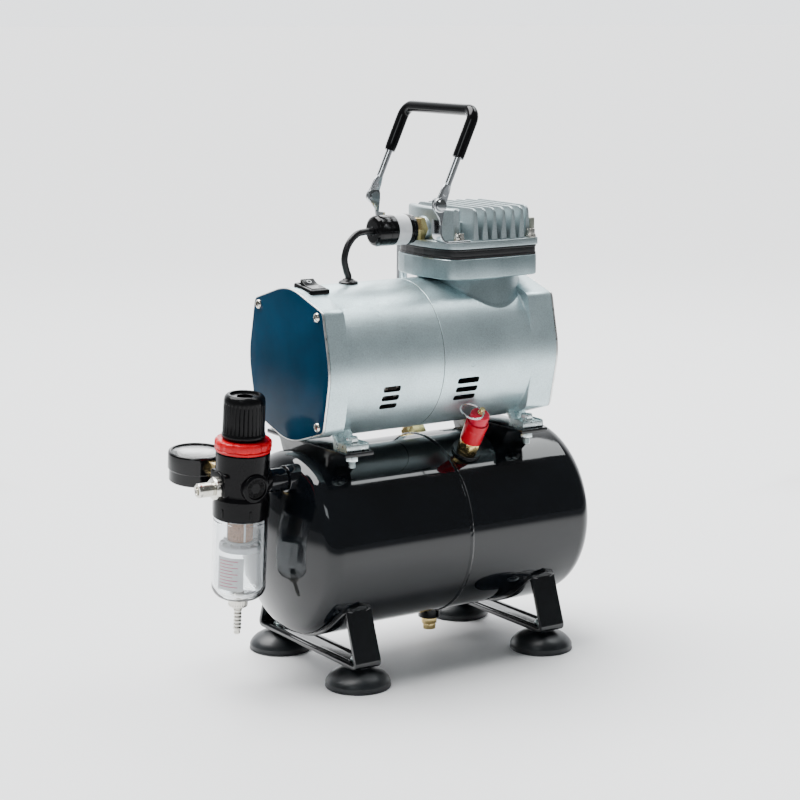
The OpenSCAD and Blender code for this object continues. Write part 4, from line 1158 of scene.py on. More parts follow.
def valve_plate():
    shape = Shape()
    outline = bowed(0.8)
    here = at(HEAD_X, 0, 0)
    shape.prism(outline, DECK, DECK + 1.6, here, 0.3)
    shape.prism(inset(outline, 0.5), DECK + 1.6, PLATE_TOP - 1.6, here, 0.2)
    shape.prism(outline, PLATE_TOP - 1.6, PLATE_TOP, here, 0.3)
    shape.done("valve_plate_stack", "frame", [GASKET], ["valve_plate"], "gasket_black")


def fin_reach(x):
    """Half width of the finned block at x from the head's middle."""
    corner = 17.0
    straight = HEAD_L / 2 - corner
    over = max(0.0, abs(x) - straight)
    return HEAD_W / 2 - 1.6 - corner + math.sqrt(max(0.0, corner ** 2 - over ** 2))


def head():
    shape = Shape()
    here = at(HEAD_X, 0, 0)
    shape.prism(bowed(), PLATE_TOP, COVER_Z, here, 1.1, 0, 0.5)
    height = FIN_TOP - COVER_Z
    for i in range(7):
        x = -17.9 + i * 7.8
        half = fin_reach(x)
        fin(shape, HEAD_X + x, -half, half, height)
    wall(shape)
    shape.block((52, 42, 13), (0, 0, COVER_Z + 6), here, 2.0, corner=8)
    tab = (HEAD_L / 2 + 0.4, 0, COVER_Z + 6)
    shape.block((4.6, 2 * WALL_W, 13.5), tab, here, 0.9, 1, corner=1.6)
    port = soften([(0, 0), (8.4, 0), (7.6, 20, 2), (7.5, 28.4, 0.8), (5, 28.4), (5, 20), (0, 20)], 0.4)
    for x in (32, 62):
        shape.lathe(port, at(motor.translation.x + x, 9, SWITCH_Z) @ REAR, 0, 64)
    shape.done("cylinder_head_casting", "frame", [HEAD, OLIVE], ["cylinder_head"], "silver_casting", 30)


def fin(shape, x, y0, y1, height):
    """Cast fin: tapered, with rounded shoulders, and a fillet at its root."""
    base, tip, shoulder = 1.75, 1.1, 6.0
    z0 = COVER_Z - 0.4
    z1 = COVER_Z + height
    outline = soften([(y0, z0, 0), (y1, z0, 0), (y1, z1, shoulder), (y0, z1, shoulder)], shoulder, True, 8)
    rings = []
    for offset, d in ((-1, 0.7), (-0.75, 0.2), (-0.4, 0.0), (0.4, 0.0), (0.75, 0.2), (1, 0.7)):
        line = inset(outline, d)
        loop = []
        for y, z in line:
            share = (z - z0) / (z1 - z0)
            root = 1.6 * max(0.0, 1 - (z - z0) / 2.6) ** 2
            t = base + (tip - base) * share + root
            loop.append((x + offset * t, y, z))
        rings.append(shape.points(loop))
    shape.skin(rings)


# The left wall of the head: half its width, the bulge of its face and how far its middle stands out
WALL_W = 28.5
WALL_BOW = 6.4
WALL_X = 37.3


def wall(shape):
    """Thick left wall, bowed like the deck, with a rounded crown and ends."""
    rings = []
    steps = 40
    thick, round_end = 6.0, 2.6
    for k in range(steps + 1):
        share = k / steps * 2 - 1
        y = share * WALL_W
        left = WALL_W - abs(y)
        pull = max(0.0, round_end - left)
        back = round_end - math.sqrt(max(0.0, round_end ** 2 - pull ** 2))
        x0 = HEAD_X - WALL_X + WALL_BOW * share ** 2 + back
        x1 = x0 + thick - 2 * back
        z0, z1 = COVER_Z - 0.5, FIN_TOP - 0.3 - 0.6 * back
        outline = soften([(x0, z0, 0), (x1, z0, 0), (x1, z1, 1.6), (x0, z1, 2.4)], 2, True, 6)
        rings.append(shape.points([(x, y, z) for x, z in outline]))
    shape.skin(rings)
    boss = [(0, -2), (7.8, -2), (8.2, -1.2), (8.6, 0.4), (9.4, 1.8), (9.4, 5), (0, 5)]
    shape.lathe(soften(boss, 0.8), at(HEAD_X - WALL_X, 0, SWITCH_Z) @ ALONG_X, 0, 64)


def head_bolts():
    shape = Shape()
    for sx in (-1, 1):
        for sy in (-1, 1):
            here = at(HEAD_X + sx * BOLT_X, sy * BOLT_HEAD_Y, COVER_Z + 1.5)
            shape.disc(3.7, 0, 0.8, here, 0.2, 0, 40)
            hex_head(shape, 5.8, 0.8, 4.5, here)
            if sx > 0:
                shape.disc(3.9, -1.5, 0, here, 0.2, 0, 40)
    shape.done("head_bolt_set", "frame", [NICKEL], ["head_bolts"], "nickel_steel")


# ---------- pressure switch, lead and grommet ----------

SWITCH_Z = centre_of("pressure_switch").z
SWITCH_X = motor.translation.x


def pressure_switch():
    here = at(SWITCH_X, 0, SWITCH_Z) @ ALONG_X
    shape = Shape()
    face = HEAD_X - WALL_X - 1.5 - SWITCH_X
    shape.prism(polygon(6, 15, 0.5), -1.4, face - 0.2, here @ turn(30, "Z"), 0.4)
    shape.disc(4.9, face - 1, face + 0.2, here, 0)
    shape.done("switch_brass_hexagon", "frame", [BRASS], ["switch_nipple"], "fitting_brass")
    shape = Shape()
    shape.disc(10.35, -17.1, -7.2, here, 0.15, 0, 96)
    ring_line = [(0, -7.2), (10.2, -7.2), (10.5, -6.6), (10.5, -4.4), (10.1, -3.8)]
    ring_line += [(9.8, -3.4), (9.8, -1.6), (0, -1.6)]
    shape.lathe(soften(ring_line, 0.4), here, 1, 96)
    shape.done("switch_band_and_ring", "frame", [WHITE, GLOSSY], ["pressure_switch"], "white_plastic")
    cap_line = [
        (2.45, -30), (2.45, -32.6), (3.1, -33.0), (7.9, -32.7, 1), (9.6, -31.8, 1.2), (10.5, -30.0, 1.2),
        (10.5, -23.4), (10.3, -23.1), (10.3, -22.5), (10.5, -22.2), (10.45, -17.8), (10.2, -17.2), (0, -17.2),
    ]
    shape = Shape()
    shape.lathe(soften(cap_line, 0.3), here, 0, 96, caps=(False, False))
    shape.lathe([(0, -30), (2.45, -30)], here, 0, 96, caps=(False, False))
    shape.done("switch_glossy_cap", "frame", [GLOSSY], ["switch_cap"], "black_plastic")


# Route of the lead in the middle plane, (x, z) from the motor's origin and the floor
LEAD_ROUTE = [
    (-28, 297), (-33, 297), (-38, 297), (-45.5, 295.5), (-52, 289),
    (-55, 280), (-53.5, 272), (-52, 268), (-52, 265), (-52, 260), (-52, 256),
]
LEAD_R = 2.3


def spline(points, steps):
    """Smooth curve through points (Catmull-Rom)."""
    out = []
    n = len(points)
    for i in range(n - 1):
        p = [Vector(points[max(0, min(n - 1, i + k))]) for k in (-1, 0, 1, 2)]
        for k in range(steps):
            t = k / steps
            out.append(0.5 * (2 * p[1] + (p[2] - p[0]) * t + (2 * p[0] - 5 * p[1] + 4 * p[2] - p[3]) * t * t
                              + (3 * p[1] - p[0] - 3 * p[2] + p[3]) * t ** 3))
    out.append(Vector(points[-1]))
    return out


def lead():
    shape = Shape()
    line = spline([(SWITCH_X + x, 0, z) for x, z in LEAD_ROUTE], 10)
    shape.tube(line, LEAD_R, 32)
    shape.done("switch_lead_sheath", "frame", [LEAD], ["switch_lead"], "lead_rubber", 60)
    shape = Shape()
    x = SWITCH_X + LEAD_ROUTE[-1][0]
    top = MOTOR_Z + HOUSING_R
    profile = [(2.4, 3.0), (3.4, 3.2), (3.9, 2.4), (5.8, 1.6), (6.5, 0.9), (6.6, 0.1), (6.2, -1.0),
        (2.4, -1.0)]
    shape.lathe_loop(soften(profile, 0.5, True), at(x, 0, top), 0, 64)
    shape.done("lead_grommet_flange", "frame", [LEAD], ["lead_grommet"], "lead_rubber", 50)


# ---------- rocker switch ----------


def rocker_switch():
    """Bezel on the housing, and a rocker with a raised ring mark on its far end."""
    lean = 7.9
    x, y, z = (v / MM for v in joint("rocker_rock")["pos_m"])
    here = at(x, y, z) @ turn(lean, "X") @ at(0, 0, 1)
    bezel = Shape()
    outer = rectangle(15.1, 22.5, 1.6, 5)
    inner = rectangle(10.9, 18.0, 0.9, 5)
    rows = [(outer, 0, -1.5), (outer, 0, 0.9), (outer, 0.3, 1.6), (outer, 1.0, 1.95)]
    rows += [(inner, -0.35, 1.95), (inner, 0, 1.6), (inner, 0, -6)]
    bezel.skin([bezel.layer(*row, here) for row in rows])
    bezel.done("rocker_switch_bezel", "frame", [GLOSSY], ["rocker_bezel"], "black_plastic")
    rocker = Shape()
    half_l, half_w = 5.1, 8.0
    tilt = here @ at(0, 0, -1) @ turn(10, "X")
    top = []
    rise = half_w * math.tan(math.radians(10))
    steps = 14
    for i in range(steps + 1):
        v = -half_w + 2 * half_w * i / steps
        top.append((v, 3.4 + rise * (abs(v) / half_w) ** 1.25))
    line = [(-half_w + 2.4, -4), (half_w - 2.4, -4)] + top[::-1]
    rocker.prism(soften(line, 0.5, True, 3), -half_l, half_l, tilt @ across(), 0.45)
    mark_z = 3.4 + rise * (4.6 / half_w) ** 1.25 + 0.02
    mark = tilt @ at(0, 4.6, mark_z) @ turn(10, "X")
    rocker.lathe_loop([(1.15, -0.1), (1.7, -0.1), (1.7, 0.12), (1.15, 0.12)], mark, 1, 32)
    mark = tilt @ at(0, -4.6, mark_z) @ turn(-10, "X")
    rocker.block((0.55, 3.0, 0.24), (0, 0, 0), mark, 0.05, 1)
    rocker.done("rocker_paddle", "rocker_body", [GLOSSY, MARK], ["rocker"], "black_plastic")


# ---------- carrying handle ----------

HANDLE_LEAN = 24.7
HANDLE_LEN = 67.7
HANDLE_Y = 41.0
ROD_R = 2.3
GRIP_R = 4.0


def handle_path(z0, bend=8.0, steps=12):
    """The bail's centre line in its own upright frame, from height z0 up, across and down."""
    flat, top = HANDLE_Y - bend, HANDLE_LEN - bend
    line = [(-HANDLE_Y, z0 + (top - z0) * k / 10) for k in range(10)]
    line += arc(-flat, top, bend, 180, 90, steps)
    line += [(-flat + 2 * flat * k / 12, HANDLE_LEN) for k in range(1, 12)]
    line += arc(flat, top, bend, 90, 0, steps)
    line += [(HANDLE_Y, z0 + (top - z0) * (9 - k) / 10) for k in range(10)]
    return [(0, y, z) for y, z in line]


def handle():
    upright = at(*PIVOT) @ turn(HANDLE_LEAN, "Y")
    shape = Shape()
    path = handle_path(14)
    shape.tube([upright @ Vector(p) for p in path], ROD_R, 28)
    for side in (-1, 1):
        place = upright @ at(0, side * HANDLE_Y, 0) @ FRONT
        rows = [(18.5, 2.1, 2.1), (16, 2.3, 2.1), (13, 3.0, 1.75), (10, 3.7, 1.35), (6, 4.0, 1.2),
            (0, 4.6, 1.2)]
        rings = []
        for z, w, t in rows:
            oval = [(w * math.copysign(abs(u) ** 0.8, u), t * v) for u, v in ring(1, 28)]
            rings.append(shape.points([(u, side * HANDLE_Y + v, z) for u, v in oval], upright))
        shape.skin(rings)
        shape.prism(ring(4.9, 48), -1.2, 1.2, place, 0.35)
        for step in (4.2, 8.4):
            shape.lathe([(0, -1.35), (1.5, -1.35), (1.8, -1.1), (1.8, 1.1), (1.5, 1.35), (0, 1.35)],
                        upright @ at(0, side * HANDLE_Y, 4 + step) @ FRONT, 0, 24)
    shape.done("handle_steel_bail", "handle", [CHROME], ["handle_bail"], "pipe_chrome")
    shape = Shape()
    line = [upright @ Vector(p) for p in handle_path(34)]
    line = [line[0] + (line[0] - line[1]).normalized() * 0.01] + line
    rim = [GRIP_R - 0.5, GRIP_R - 0.12]
    radii = rim + [GRIP_R] * (len(line) - 4) + rim[::-1]
    shape.tube(line, radii, 40)
    shape.done("handle_glossy_sleeve", "handle", [GLOSSY], ["handle_grip"], "grip_sleeve", 50)


def brackets():
    """Bent strap from under the head bolt up to an ear that holds the handle's rivet."""
    shape = Shape()
    ear_t = 1.5
    strap_x = -4.5 + SWITCH_X
    bolt_x = HEAD_X - BOLT_X
    floor = COVER_Z + ear_t / 2
    outer = HANDLE_Y - 1.2 - 0.3
    width, bend, ear_x = 10.5, 7, strap_x + 0.75
    side_line = [(bolt_x + 4, floor), (bolt_x, floor), (strap_x + 9, floor)]
    side_line += arc(ear_x + bend, floor + bend, bend, 261, 189, 8)
    side_line += [(ear_x, floor + bend), (ear_x, COVER_Z + 16)]
    section = rectangle(ear_t, width, 0.45, 3)
    low_z, high_z, half = PIVOT.z - 2, PIVOT.z + 4.7, 4.7
    ear = [(strap_x, COVER_Z + 13, 1), (strap_x + 1.5, COVER_Z + 12, 0.5), (strap_x + 2.4, PIVOT.z - 9, 6)]
    ear += [(PIVOT.x + half, low_z, 4), (PIVOT.x + half, high_z, 4.5), (PIVOT.x - half, high_z, 4.5)]
    ear = soften(ear + [(PIVOT.x - half, low_z, 4), (strap_x - 0.8, PIVOT.z - 9, 6)], 1, True, 8)
    plane = Matrix(((1, 0, 0, 0), (0, 0, 1, 0), (0, 1, 0, 0), (0, 0, 0, 1)))
    reach = 3.0
    rivet = [(0, -3), (3.3, -3), (3.4, -2.4), (3.4, -1.5), (1.98, -1.5), (1.98, reach + 0.02)]
    rivet += [(3.8, reach + 0.02), (3.8, reach + 0.5), (3.4, reach + 1.1), (2.4, reach + 1.5),
        (0, reach + 1.62)]
    for side in (-1, 1):
        y = side * (outer - width / 2)
        path = [(x, y, z) for x, z in side_line]
        rings = []
        for i, p in enumerate(path):
            a = Vector(path[max(0, i - 1)])
            b = Vector(path[min(len(path) - 1, i + 1)])
            t = (b - a).normalized()
            n = Vector((-t.z, 0, t.x))
            rings.append(shape.points([Vector(p) + n * u + Vector((0, v, 0)) for u, v in section]))
        shape.skin(rings)
        y0, y1 = sorted((side * outer, side * (outer - ear_t)))
        shape.prism(ear, y0, y1, plane, 0.3)
        place = at(PIVOT.x, side * outer, PIVOT.z) @ (FRONT if side < 0 else REAR)
        shape.lathe(rivet, place, 0, 40)
    shape.done("handle_bracket_pair", "frame", [STRAP], ["handle_brackets"], "pipe_chrome")


# ---------- safety valve ----------


def safety_valve():
    base = on_tank(SAFETY_X, SAFETY_ANGLE)
    brass = Shape()
    hex_head(brass, 12.8, 2.2, 10.5, base)
    brass.disc(5.9, 10, 20, base, 0.3, 0, 64)
    brass.done("safety_valve_body", "frame", [BRASS], ["safety_body"], "fitting_brass")
    sleeve = Shape()
    line = [(6.0, 10.6), (7.3, 10.6), (7.55, 11.2), (7.75, 21.2), (7.6, 21.7), (8.0, 22.2), (8.0, 26.4),
        (7.7, 27.0), (7.25, 27.0), (7.1, 26.6), (7.1, 20.1), (6.0, 20.1)]
    sleeve.lathe_loop(soften(line, 0.3, True), base, 0, 96)
    sleeve.done("safety_valve_sleeve", "frame", [RED], ["safety_sleeve"], "red_sleeve")
    knob = Shape()
    line = [(0, 20.4), (6.0, 20.4), (6.5, 21.2), (6.7, 22.5), (6.7, 31.2), (6.55, 31.5), (6.55, 31.9),
        (6.7, 32.2), (6.6, 33.5, 1), (5.4, 34.5, 0.8), (0, 34.5)]
    knob.lathe(soften(line, 0.4), base, 0, 96)
    tip = [(0, 34), (2.6, 34), (2.6, 34.8), (1.9, 35.1), (1.9, 37.9), (1.5, 38.3), (0, 38.3)]
    knob.lathe(soften(tip, 0.2), base, 1, 48)
    stem = knob.done("safety_pull_knob", "safety_stem", [PINK_RED, BRASS], ["safety_knob"], "red_knob")
    axis = Vector(joint("ring_swing")["axis"])
    centre = Vector(joint("ring_swing")["pos_m"]) / MM
    cutter = Shape()
    cutter.tube([centre - axis * 5, centre + axis * 5], 0.95, 20)
    carve(stem, cutter, look=BRASS)
    split_ring(axis, centre, base)


def split_ring(axis, centre, base):
    """Two close turns of spring wire through the tip's hole."""
    up = (base.to_3x3() @ Vector((0, 0, 1))).normalized()
    out = up.cross(axis).normalized()
    if out.x > 0:
        out = -out
    side = up.cross(out).normalized()
    r, wire, turns, steps = 8.0, 0.4, 2.0, 180
    middle = centre + out * r
    line = []
    for i in range(steps + 1):
        t = i / steps
        a = TAU * turns * t + 0.5
        climb = 0.4 * max(-1, min(1, (t - 0.5) * 10))
        line.append(middle + (out * math.cos(a) + side * math.sin(a)) * r + up * climb)
    shape = Shape()
    shape.tube(line, [wire * 0.7] + [wire] * (steps - 1) + [wire * 0.7], 16)
    shape.done("safety_split_ring", "ring", [CHROME], ["pull_ring"], "pipe_chrome", 60)


def tank_drain():
    here = on_tank(centre_of("tank_drain").x, 180)
    shape = Shape()
    teeth = polar(lambda a: 5.45 - 0.18 * max(0.0, math.cos(a * 30)) ** 2, 180)
    shape.prism(teeth, 7.8, 12.2, here, 0.5)
    shape.disc(4.75, 6.5, 8, here, 0, 0, 40)
    hex_head(shape, 8.8, 12.3, 16.3, here)
    shape.done("tank_drain_valve", "drain_valve", [BRASS], ["tank_drain"], "fitting_brass")


# ---------- regulator ----------


def regulator_body():
    shape = Shape()
    line = [
        (0, BOWL_TOP), (18.1, BOWL_TOP), (18.6, BOWL_TOP + 0.6), (18.6, -10.0), (18.3, -9.0), (17.8, -7.0),
        (17.7, -6.0),
        (17.7, 11.5), (17.8, 18.0), (17.9, 20.4), (17.5, 21.0), (11.6, 21.2), (11.6, 29.6), (11.2, 30),
        (11.2, 45.4), (0, 45.4),
    ]
    shape.lathe(soften(line, 0.5), regulator, 0, 128)
    out = at(0, 0, 1.7)
    front_port = [(0, 10), (9.6, 10, 3), (9.5, 17.4, 0.8), (7.6, 18.0, 0.4), (6.9, 18.0), (6.9, 16.6),
        (0, 16.6)]
    rear_port = [(0, 8), (9.8, 12, 3), (8.9, 18.0, 0.8), (0, 18.0)]
    side_port = [(0, 10), (9.4, 12, 3), (8.9, 17.0, 0.8), (0, 17.0)]
    ports = ((front_port, FRONT), (rear_port, REAR), (side_port, MINUS_X), (side_port, ALONG_X))
    for port, way in ports:
        shape.lathe(soften(port, 0.6), regulator @ way @ out, 0, 72)
    pad = rectangle(15.5, 20, 2.2)
    shape.prism(pad, 8, 16.4, regulator @ MINUS_X @ out @ at(0.8, 0, 0), 0.8)
    for i in range(6):
        a = 20 + 60 * i
        rib = regulator @ turn(a, "Z") @ at(18.4, 0, BOWL_TOP + 5.4)
        shape.block((1.2, 1.6, 6), (0, 0, 0), rib, 0.4)
    shape.done("regulator_main_body", "frame", [BODY_BLACK], ["regulator_body"], "regulator_black")
    plug = Shape()
    place = regulator @ FRONT @ out
    plug.lathe(soften([(0, 10), (6.6, 10), (6.6, 16.2), (6.2, 16.6), (4.2, 16.6), (0, 16.6)], 0.3), place, 0,
        64)
    socket = Shape()
    socket.prism(polygon(6, 6.2, 0.15), 12.6, 20, place, 0)
    done = plug.done("regulator_port_plug", "frame", [SATIN], ["port_plug"], "black_plastic")
    # The socket's walls take the near-black painted shade.
    carve(done, socket, look=DARK)


def lock_ring():
    """Red ring with twelve scoops round its rim."""
    steps, rim_r, scoop_r, scoop_at = 480, 18.7, 4.2, 22.2

    def rim(a):
        off = (a % (TAU / 12)) - TAU / 24
        gap = scoop_at * math.sin(off)
        if abs(gap) >= scoop_r:
            return rim_r
        return min(rim_r, scoop_at * math.cos(off) - math.sqrt(scoop_r ** 2 - gap ** 2))

    low, high = 21.3, 29.2
    bore, collar, outline = ring(11.7, steps), ring(18.4, steps), polar(rim, steps)
    rows = [(bore, 0, low), (collar, 0.9, low), (collar, 0.25, low + 0.25), (collar, 0, low + 0.8)]
    rows += [(collar, 0, low + 1.6), (collar, 0.5, low + 2.1), (outline, 0.35, low + 2.4),
        (outline, 0, low + 3.0)]
    rows += [(outline, 0, high - 1.5), (outline, 0.25, high - 0.8), (outline, 0.9, high - 0.2)]
    rows += [(outline, 1.8, high), (bore, 0, high)]
    shape = Shape()
    rings = [shape.layer(*row, regulator) for row in rows]
    shape.skin(rings + [rings[0]], 0, (False, False))
    shape.done("regulator_lock_ring", "frame", [RED_RING], ["lock_ring"], "red_ring", 40)


def regulator_knob():
    """Knob with narrow flutes between a smooth cap and a smooth skirt."""
    steps, flutes = 480, 30
    profile = [
        (12.0, 30.2, 0), (13.9, 30.2, 0), (14.25, 30.6, 0), (14.3, 32.4, 0), (14.1, 33.2, 0),
        (13.85, 33.6, 0), (13.8, 34.2, 1), (13.7, 40, 1),
        (13.65, 46, 1), (13.6, 51.6, 1), (13.55, 52.6, 0.6), (13.55, 53.2, 0), (13.5, 54.6, 0),
        (13.3, 56.2, 0), (12.7, 57.6, 0), (11.7, 58.5, 0),
        (10.4, 58.85, 0), (9.8, 58.8, 0), (9.5, 58.4, 0), (9.3, 57.4, 0), (6.4, 57.3, 0),
    ]
    shape = Shape()
    rings = []
    for r, z, cut in profile:
        outline = polar(lambda a: r - 0.55 * cut * max(0.0, math.cos(a * flutes)) ** 3, steps)
        rings.append(shape.layer(outline, 0, z, regulator))
    hexagon = polar(lambda a: 5.0 / math.cos((a % (TAU / 6)) - TAU / 12), steps)
    rings += [shape.layer(hexagon, 0, z, regulator) for z in (57.3, 54.2)]
    shape.skin(rings, 0, (False, True))
    inner = [shape.layer(ring(12.0, steps), 0, z, regulator) for z in (30.2, 53.0)]
    shape.skin(inner, 0, (False, True))
    shape.done("regulator_fluted_knob", "knob", [SATIN], ["regulator_knob"], "black_plastic", 40)


def fittings():
    _, y, z = centre_of("inlet_nipple")
    reg_x = regulator.translation.x
    shape = Shape()
    here = at(reg_x, y, z) @ ALONG_X
    shape.prism(polygon(6, 13.8, 0.5), 17.2, 31.5, here @ turn(30, "Z"), 0.4)
    shape.lathe(soften([(0, 16.9), (7.6, 17.1), (7.9, 18.4), (7.9, 30.4), (7.6, 31.8), (0, 31.9)], 0.4),
        here, 0, 64)
    shape.done("inlet_union", "frame", [TANK], ["inlet_nipple"], "fitting_brass")
    tip = reg_x - box("outlet_fitting")[0].x
    place = at(reg_x, y, z) @ MINUS_X
    shape = Shape()
    shape.prism(polygon(6, 13.6, 0.5), 17.1, 21.6, place, 0.3)
    shape.lathe(soften([(0, 17.0), (6.9, 17.1), (7.3, 18.0), (7.3, 20.6), (6.7, 21.9), (0, 21.9)], 0.3),
        place, 0, 64)
    line = [(2.5, 20), (4.2, 21.8), (4.2, 22.8), (4.55, 23.1)]
    pitch = 0.9
    z0 = 23.4
    while z0 < tip - 2.9:
        line += [(4.8, z0 + 0.3), (4.8, z0 + 0.45), (4.5, z0 + 0.75)]
        z0 += pitch
    line += [(4.5, tip - 2.6), (4.83, tip - 2.2), (4.83, tip - 0.7), (4.3, tip - 0.1), (3.6, tip),
        (2.9, tip - 0.1), (2.5, tip - 0.9), (2.5, 20)]
    shape.lathe_loop(line[:-1], place, 0, 72)
    shape.done("outlet_spigot", "frame", [NICKEL], ["outlet_fitting"], "nickel_steel")


# ---------- filter bowl ----------

BOWL_Z0 = -79.4
BOWL_TOP = -23.4


def bowl():
    shape = Shape()
    outer_r, inner_r = 18.0, 15.9
    line = [(inner_r, BOWL_TOP + 6.0), (inner_r, BOWL_Z0 + 10)]
    line += arc(inner_r - 6, BOWL_Z0 + 9, 6, 0, -80, 8)
    line += [(5.0, BOWL_Z0 + 2.4), (4.0, BOWL_Z0 + 2.2), (4.0, BOWL_Z0 + 0.1), (9.2, BOWL_Z0)]
    line += arc(outer_r - 8, BOWL_Z0 + 8, 8, -80, 0, 10)
    line += [(outer_r, BOWL_TOP - 2.2), (17.6, BOWL_TOP - 1.8), (17.6, BOWL_TOP - 0.3), (16.9, BOWL_TOP)]
    line += [(16.9, BOWL_TOP + 6.0)]
    shape.lathe_loop(line, regulator, 0, 128)
    shape.done("filter_clear_bowl", "frame", [BOWL], ["filter_bowl"], "clear_bowl", 40)
    shape = Shape()
    core = [(0, -18), (8.0, -18), (8.2, -19), (8.3, -38.9), (8.0, -39.5), (0, -39.5)]
    shape.lathe(soften(core, 0.3), regulator, 0, 72)
    for k in range(3):
        here = regulator @ turn(120 * k + 20, "Z")
        shape.block((0.8, 1.2, 18), (8.5, 0, -30.0), here, 0.3, 1)
    baffle = [(0, -39.5), (9.2, -39.5), (9.6, -40.1), (9.6, -41.1), (13.2, -41.7), (13.7, -42.3)]
    baffle += [(13.7, -45.1), (13.1, -45.9), (0, -46.0)]
    shape.lathe(soften(baffle, 0.35), regulator, 1, 96)
    for k in range(12):
        here = regulator @ turn(30 * k, "Z") @ at(11.2, 0, -41.3) @ turn(18, "X")
        shape.block((3.2, 0.7, 2.2), (0, 0, 0), here, 0.25, 1)
    shape.done("filter_element", "frame", [FILTER, WHITE], ["filter_core"], "filter_brown")
    card = Shape()
    start, sweep, low, tall = 185, 66, -70.6, 22.6
    card.lathe([(15.2, low), (15.2, low + tall)], regulator, 0, 40, start, start + sweep)
    card.lathe([(15.45, low + tall), (15.45, low)], regulator, 0, 40, start, start + sweep)
    for k in range(9):
        z = low + 2.5 + 2.2 * k
        reach = 34 if k % 2 else 46
        card.lathe([(15.53, z), (15.53, z + 0.5)], regulator, 1, 24, start + 6, start + 6 + reach)
    card.done("bowl_scale_card", "frame", [CARD, PINK], ["scale_card"], "white_plastic", 60)
    bowl_drain()


def bowl_drain():
    top = BOWL_Z0 - 0.2
    shape = Shape()
    shape.lathe(soften([(0, top), (3.9, top), (3.9, top + 3.6), (2.6, top + 5.4), (0, top + 5.4)], 0.4),
        regulator, 0, 56)
    steps = 288
    rows = [(0.01, 0, 0), (6.0, 0, 0), (6.45, 0.4, 0), (6.5, 1.2, 0), (6.5, 1.5, 1), (6.5, 5.0, 1),
        (6.5, 5.3, 0)]
    rows += [(6.3, 6.2, 0), (5.0, 6.9, 0), (4.2, 7.0, 0), (0.01, 7.0, 0)]
    rings = []
    for r, down, cut in rows:
        outline = polar(lambda a: r - 0.3 * cut * max(0.0, math.cos(24 * a)) ** 2, steps)
        rings.append(shape.layer(outline, 0, top - down, regulator))
    shape.skin(rings)
    barb_tip = -(regulator.translation.z - box("bowl_drain")[0].z) / math.cos(math.radians(5)) + 0.35
    line = [(0, top - 6.9), (3.4, top - 6.9), (3.4, top - 8.2), (2.2, top - 8.6)]
    z = top - 9.2
    while z > barb_tip + 2.2:
        line += [(2.75, z), (2.75, z - 0.4), (2.0, z - 2.2), (2.0, z - 2.4)]
        z -= 2.5
    line += [(2.3, barb_tip + 0.8), (1.7, barb_tip), (1.1, barb_tip), (1.1, barb_tip + 3), (0, barb_tip + 3)]
    shape.lathe(soften(line, 0.15), regulator, 0, 48)
    shape.done("bowl_drain_tap", "bowl_tap", [NICKEL], ["bowl_drain"], "nickel_steel")


# ---------- pressure gauge ----------


def gauge_set():
    shape = Shape()
    line = [
        (0, -13.8), (18.2, -13.8), (19.0, -13.0), (19.1, -5.6), (19.4, -5.2), (20.0, -4.7), (20.0, 5.6),
        (19.5, 6.6), (18.6, 7.0),
        (17.8, 6.9), (17.5, 6.4), (17.5, 2.4), (17.5, 1.9), (0, 1.9),
    ]
    shape.lathe(soften(line, 0.35), gauge, 0, 128)
    shape.done("gauge_drum", "frame", [GLOSSY], ["gauge_case"], "regulator_black")
    stem = Shape()
    reach = (gauge.translation - regulator.translation).length
    stem.prism(polygon(6, 10.8, 0.4), 19.2, reach - 18.2, gauge @ FRONT, 0.3)
    stem.disc(4.8, 18.5, reach - 17, gauge @ FRONT, 0.3)
    stem.done("gauge_brass_stem", "frame", [BRASS], (), "fitting_brass")
    dial = Shape()
    dial.disc(17.4, 2.0, 2.75, gauge, 0.1, 0, 96)
    for k in range(51):
        a = math.radians(225 - 270 * k / 50)
        major = k % 10 == 0
        l = 3.0 if major else (2.2 if k % 5 == 0 else 1.4)
        here = gauge @ turn(math.degrees(a), "Z")
        dial.block((l, 0.42 if major else 0.2, 0.06), (16.3 - l / 2, 0, 2.79), here, 0.01, 1)
    dial.lathe([(16.35, 2.8), (16.6, 2.8)], gauge, 1, 96, -45, 225)
    dial.done("gauge_white_dial", "frame", [DIAL, INK], ["gauge_dial"], "white_plastic")
    dial_numbers()
    needle = Shape()
    rest = gauge @ turn(-45, "Z")
    needle.prism([(-0.55, 5.2), (-0.55, -3), (-0.12, -13.4), (0.12, -13.4), (0.55, -3), (0.55, 5.2)], 3.15,
        3.5, rest, 0.08)
    needle.lathe(soften([(0, 2.2), (0.95, 2.2), (0.95, 3.0), (2.0, 3.0), (2.0, 3.9), (1.3, 4.3), (0, 4.3)],
        0.2), gauge, 0, 40)
    needle.done("gauge_pointer", "needle", [INK], ["gauge_needle"], "needle_black")
    lens = Shape()
    lens.lathe(soften([(0, 5.2), (17.4, 5.2), (17.4, 6.0), (12, 6.5), (0, 6.6)], 0.2), gauge, 0, 96)
    lens.done("gauge_clear_lens", "frame", [LENS], ["gauge_lens"], "gauge_glass", 60)


def dial_numbers():
    """Plain numerals round the dial."""
    for k in range(6):
        a = math.radians(225 - 54 * k)
        curve = bpy.data.curves.new(f"dial_number_{k}", "FONT")
        curve.body = str(2 * k)
        curve.size = 3.0 * MM
        curve.align_x = curve.align_y = "CENTER"
        curve.extrude = 0.02 * MM
        text = add_object(f"dial_number_{k}", curve)
        bpy.context.view_layer.update()
        mesh = bpy.data.meshes.new_from_object(text)
        bpy.data.objects.remove(text)
        here = gauge @ at(11.2 * math.cos(a), 11.2 * math.sin(a), 2.79)
        for v in mesh.vertices:
            v.co = (here @ (Vector(v.co) / MM)) * MM
        piece = add_object(f"dial_number_{k}", mesh)
        mesh.materials.clear()
        mesh.materials.append(INK)
        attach(piece, "frame")


# ---------- rear of the machine ----------


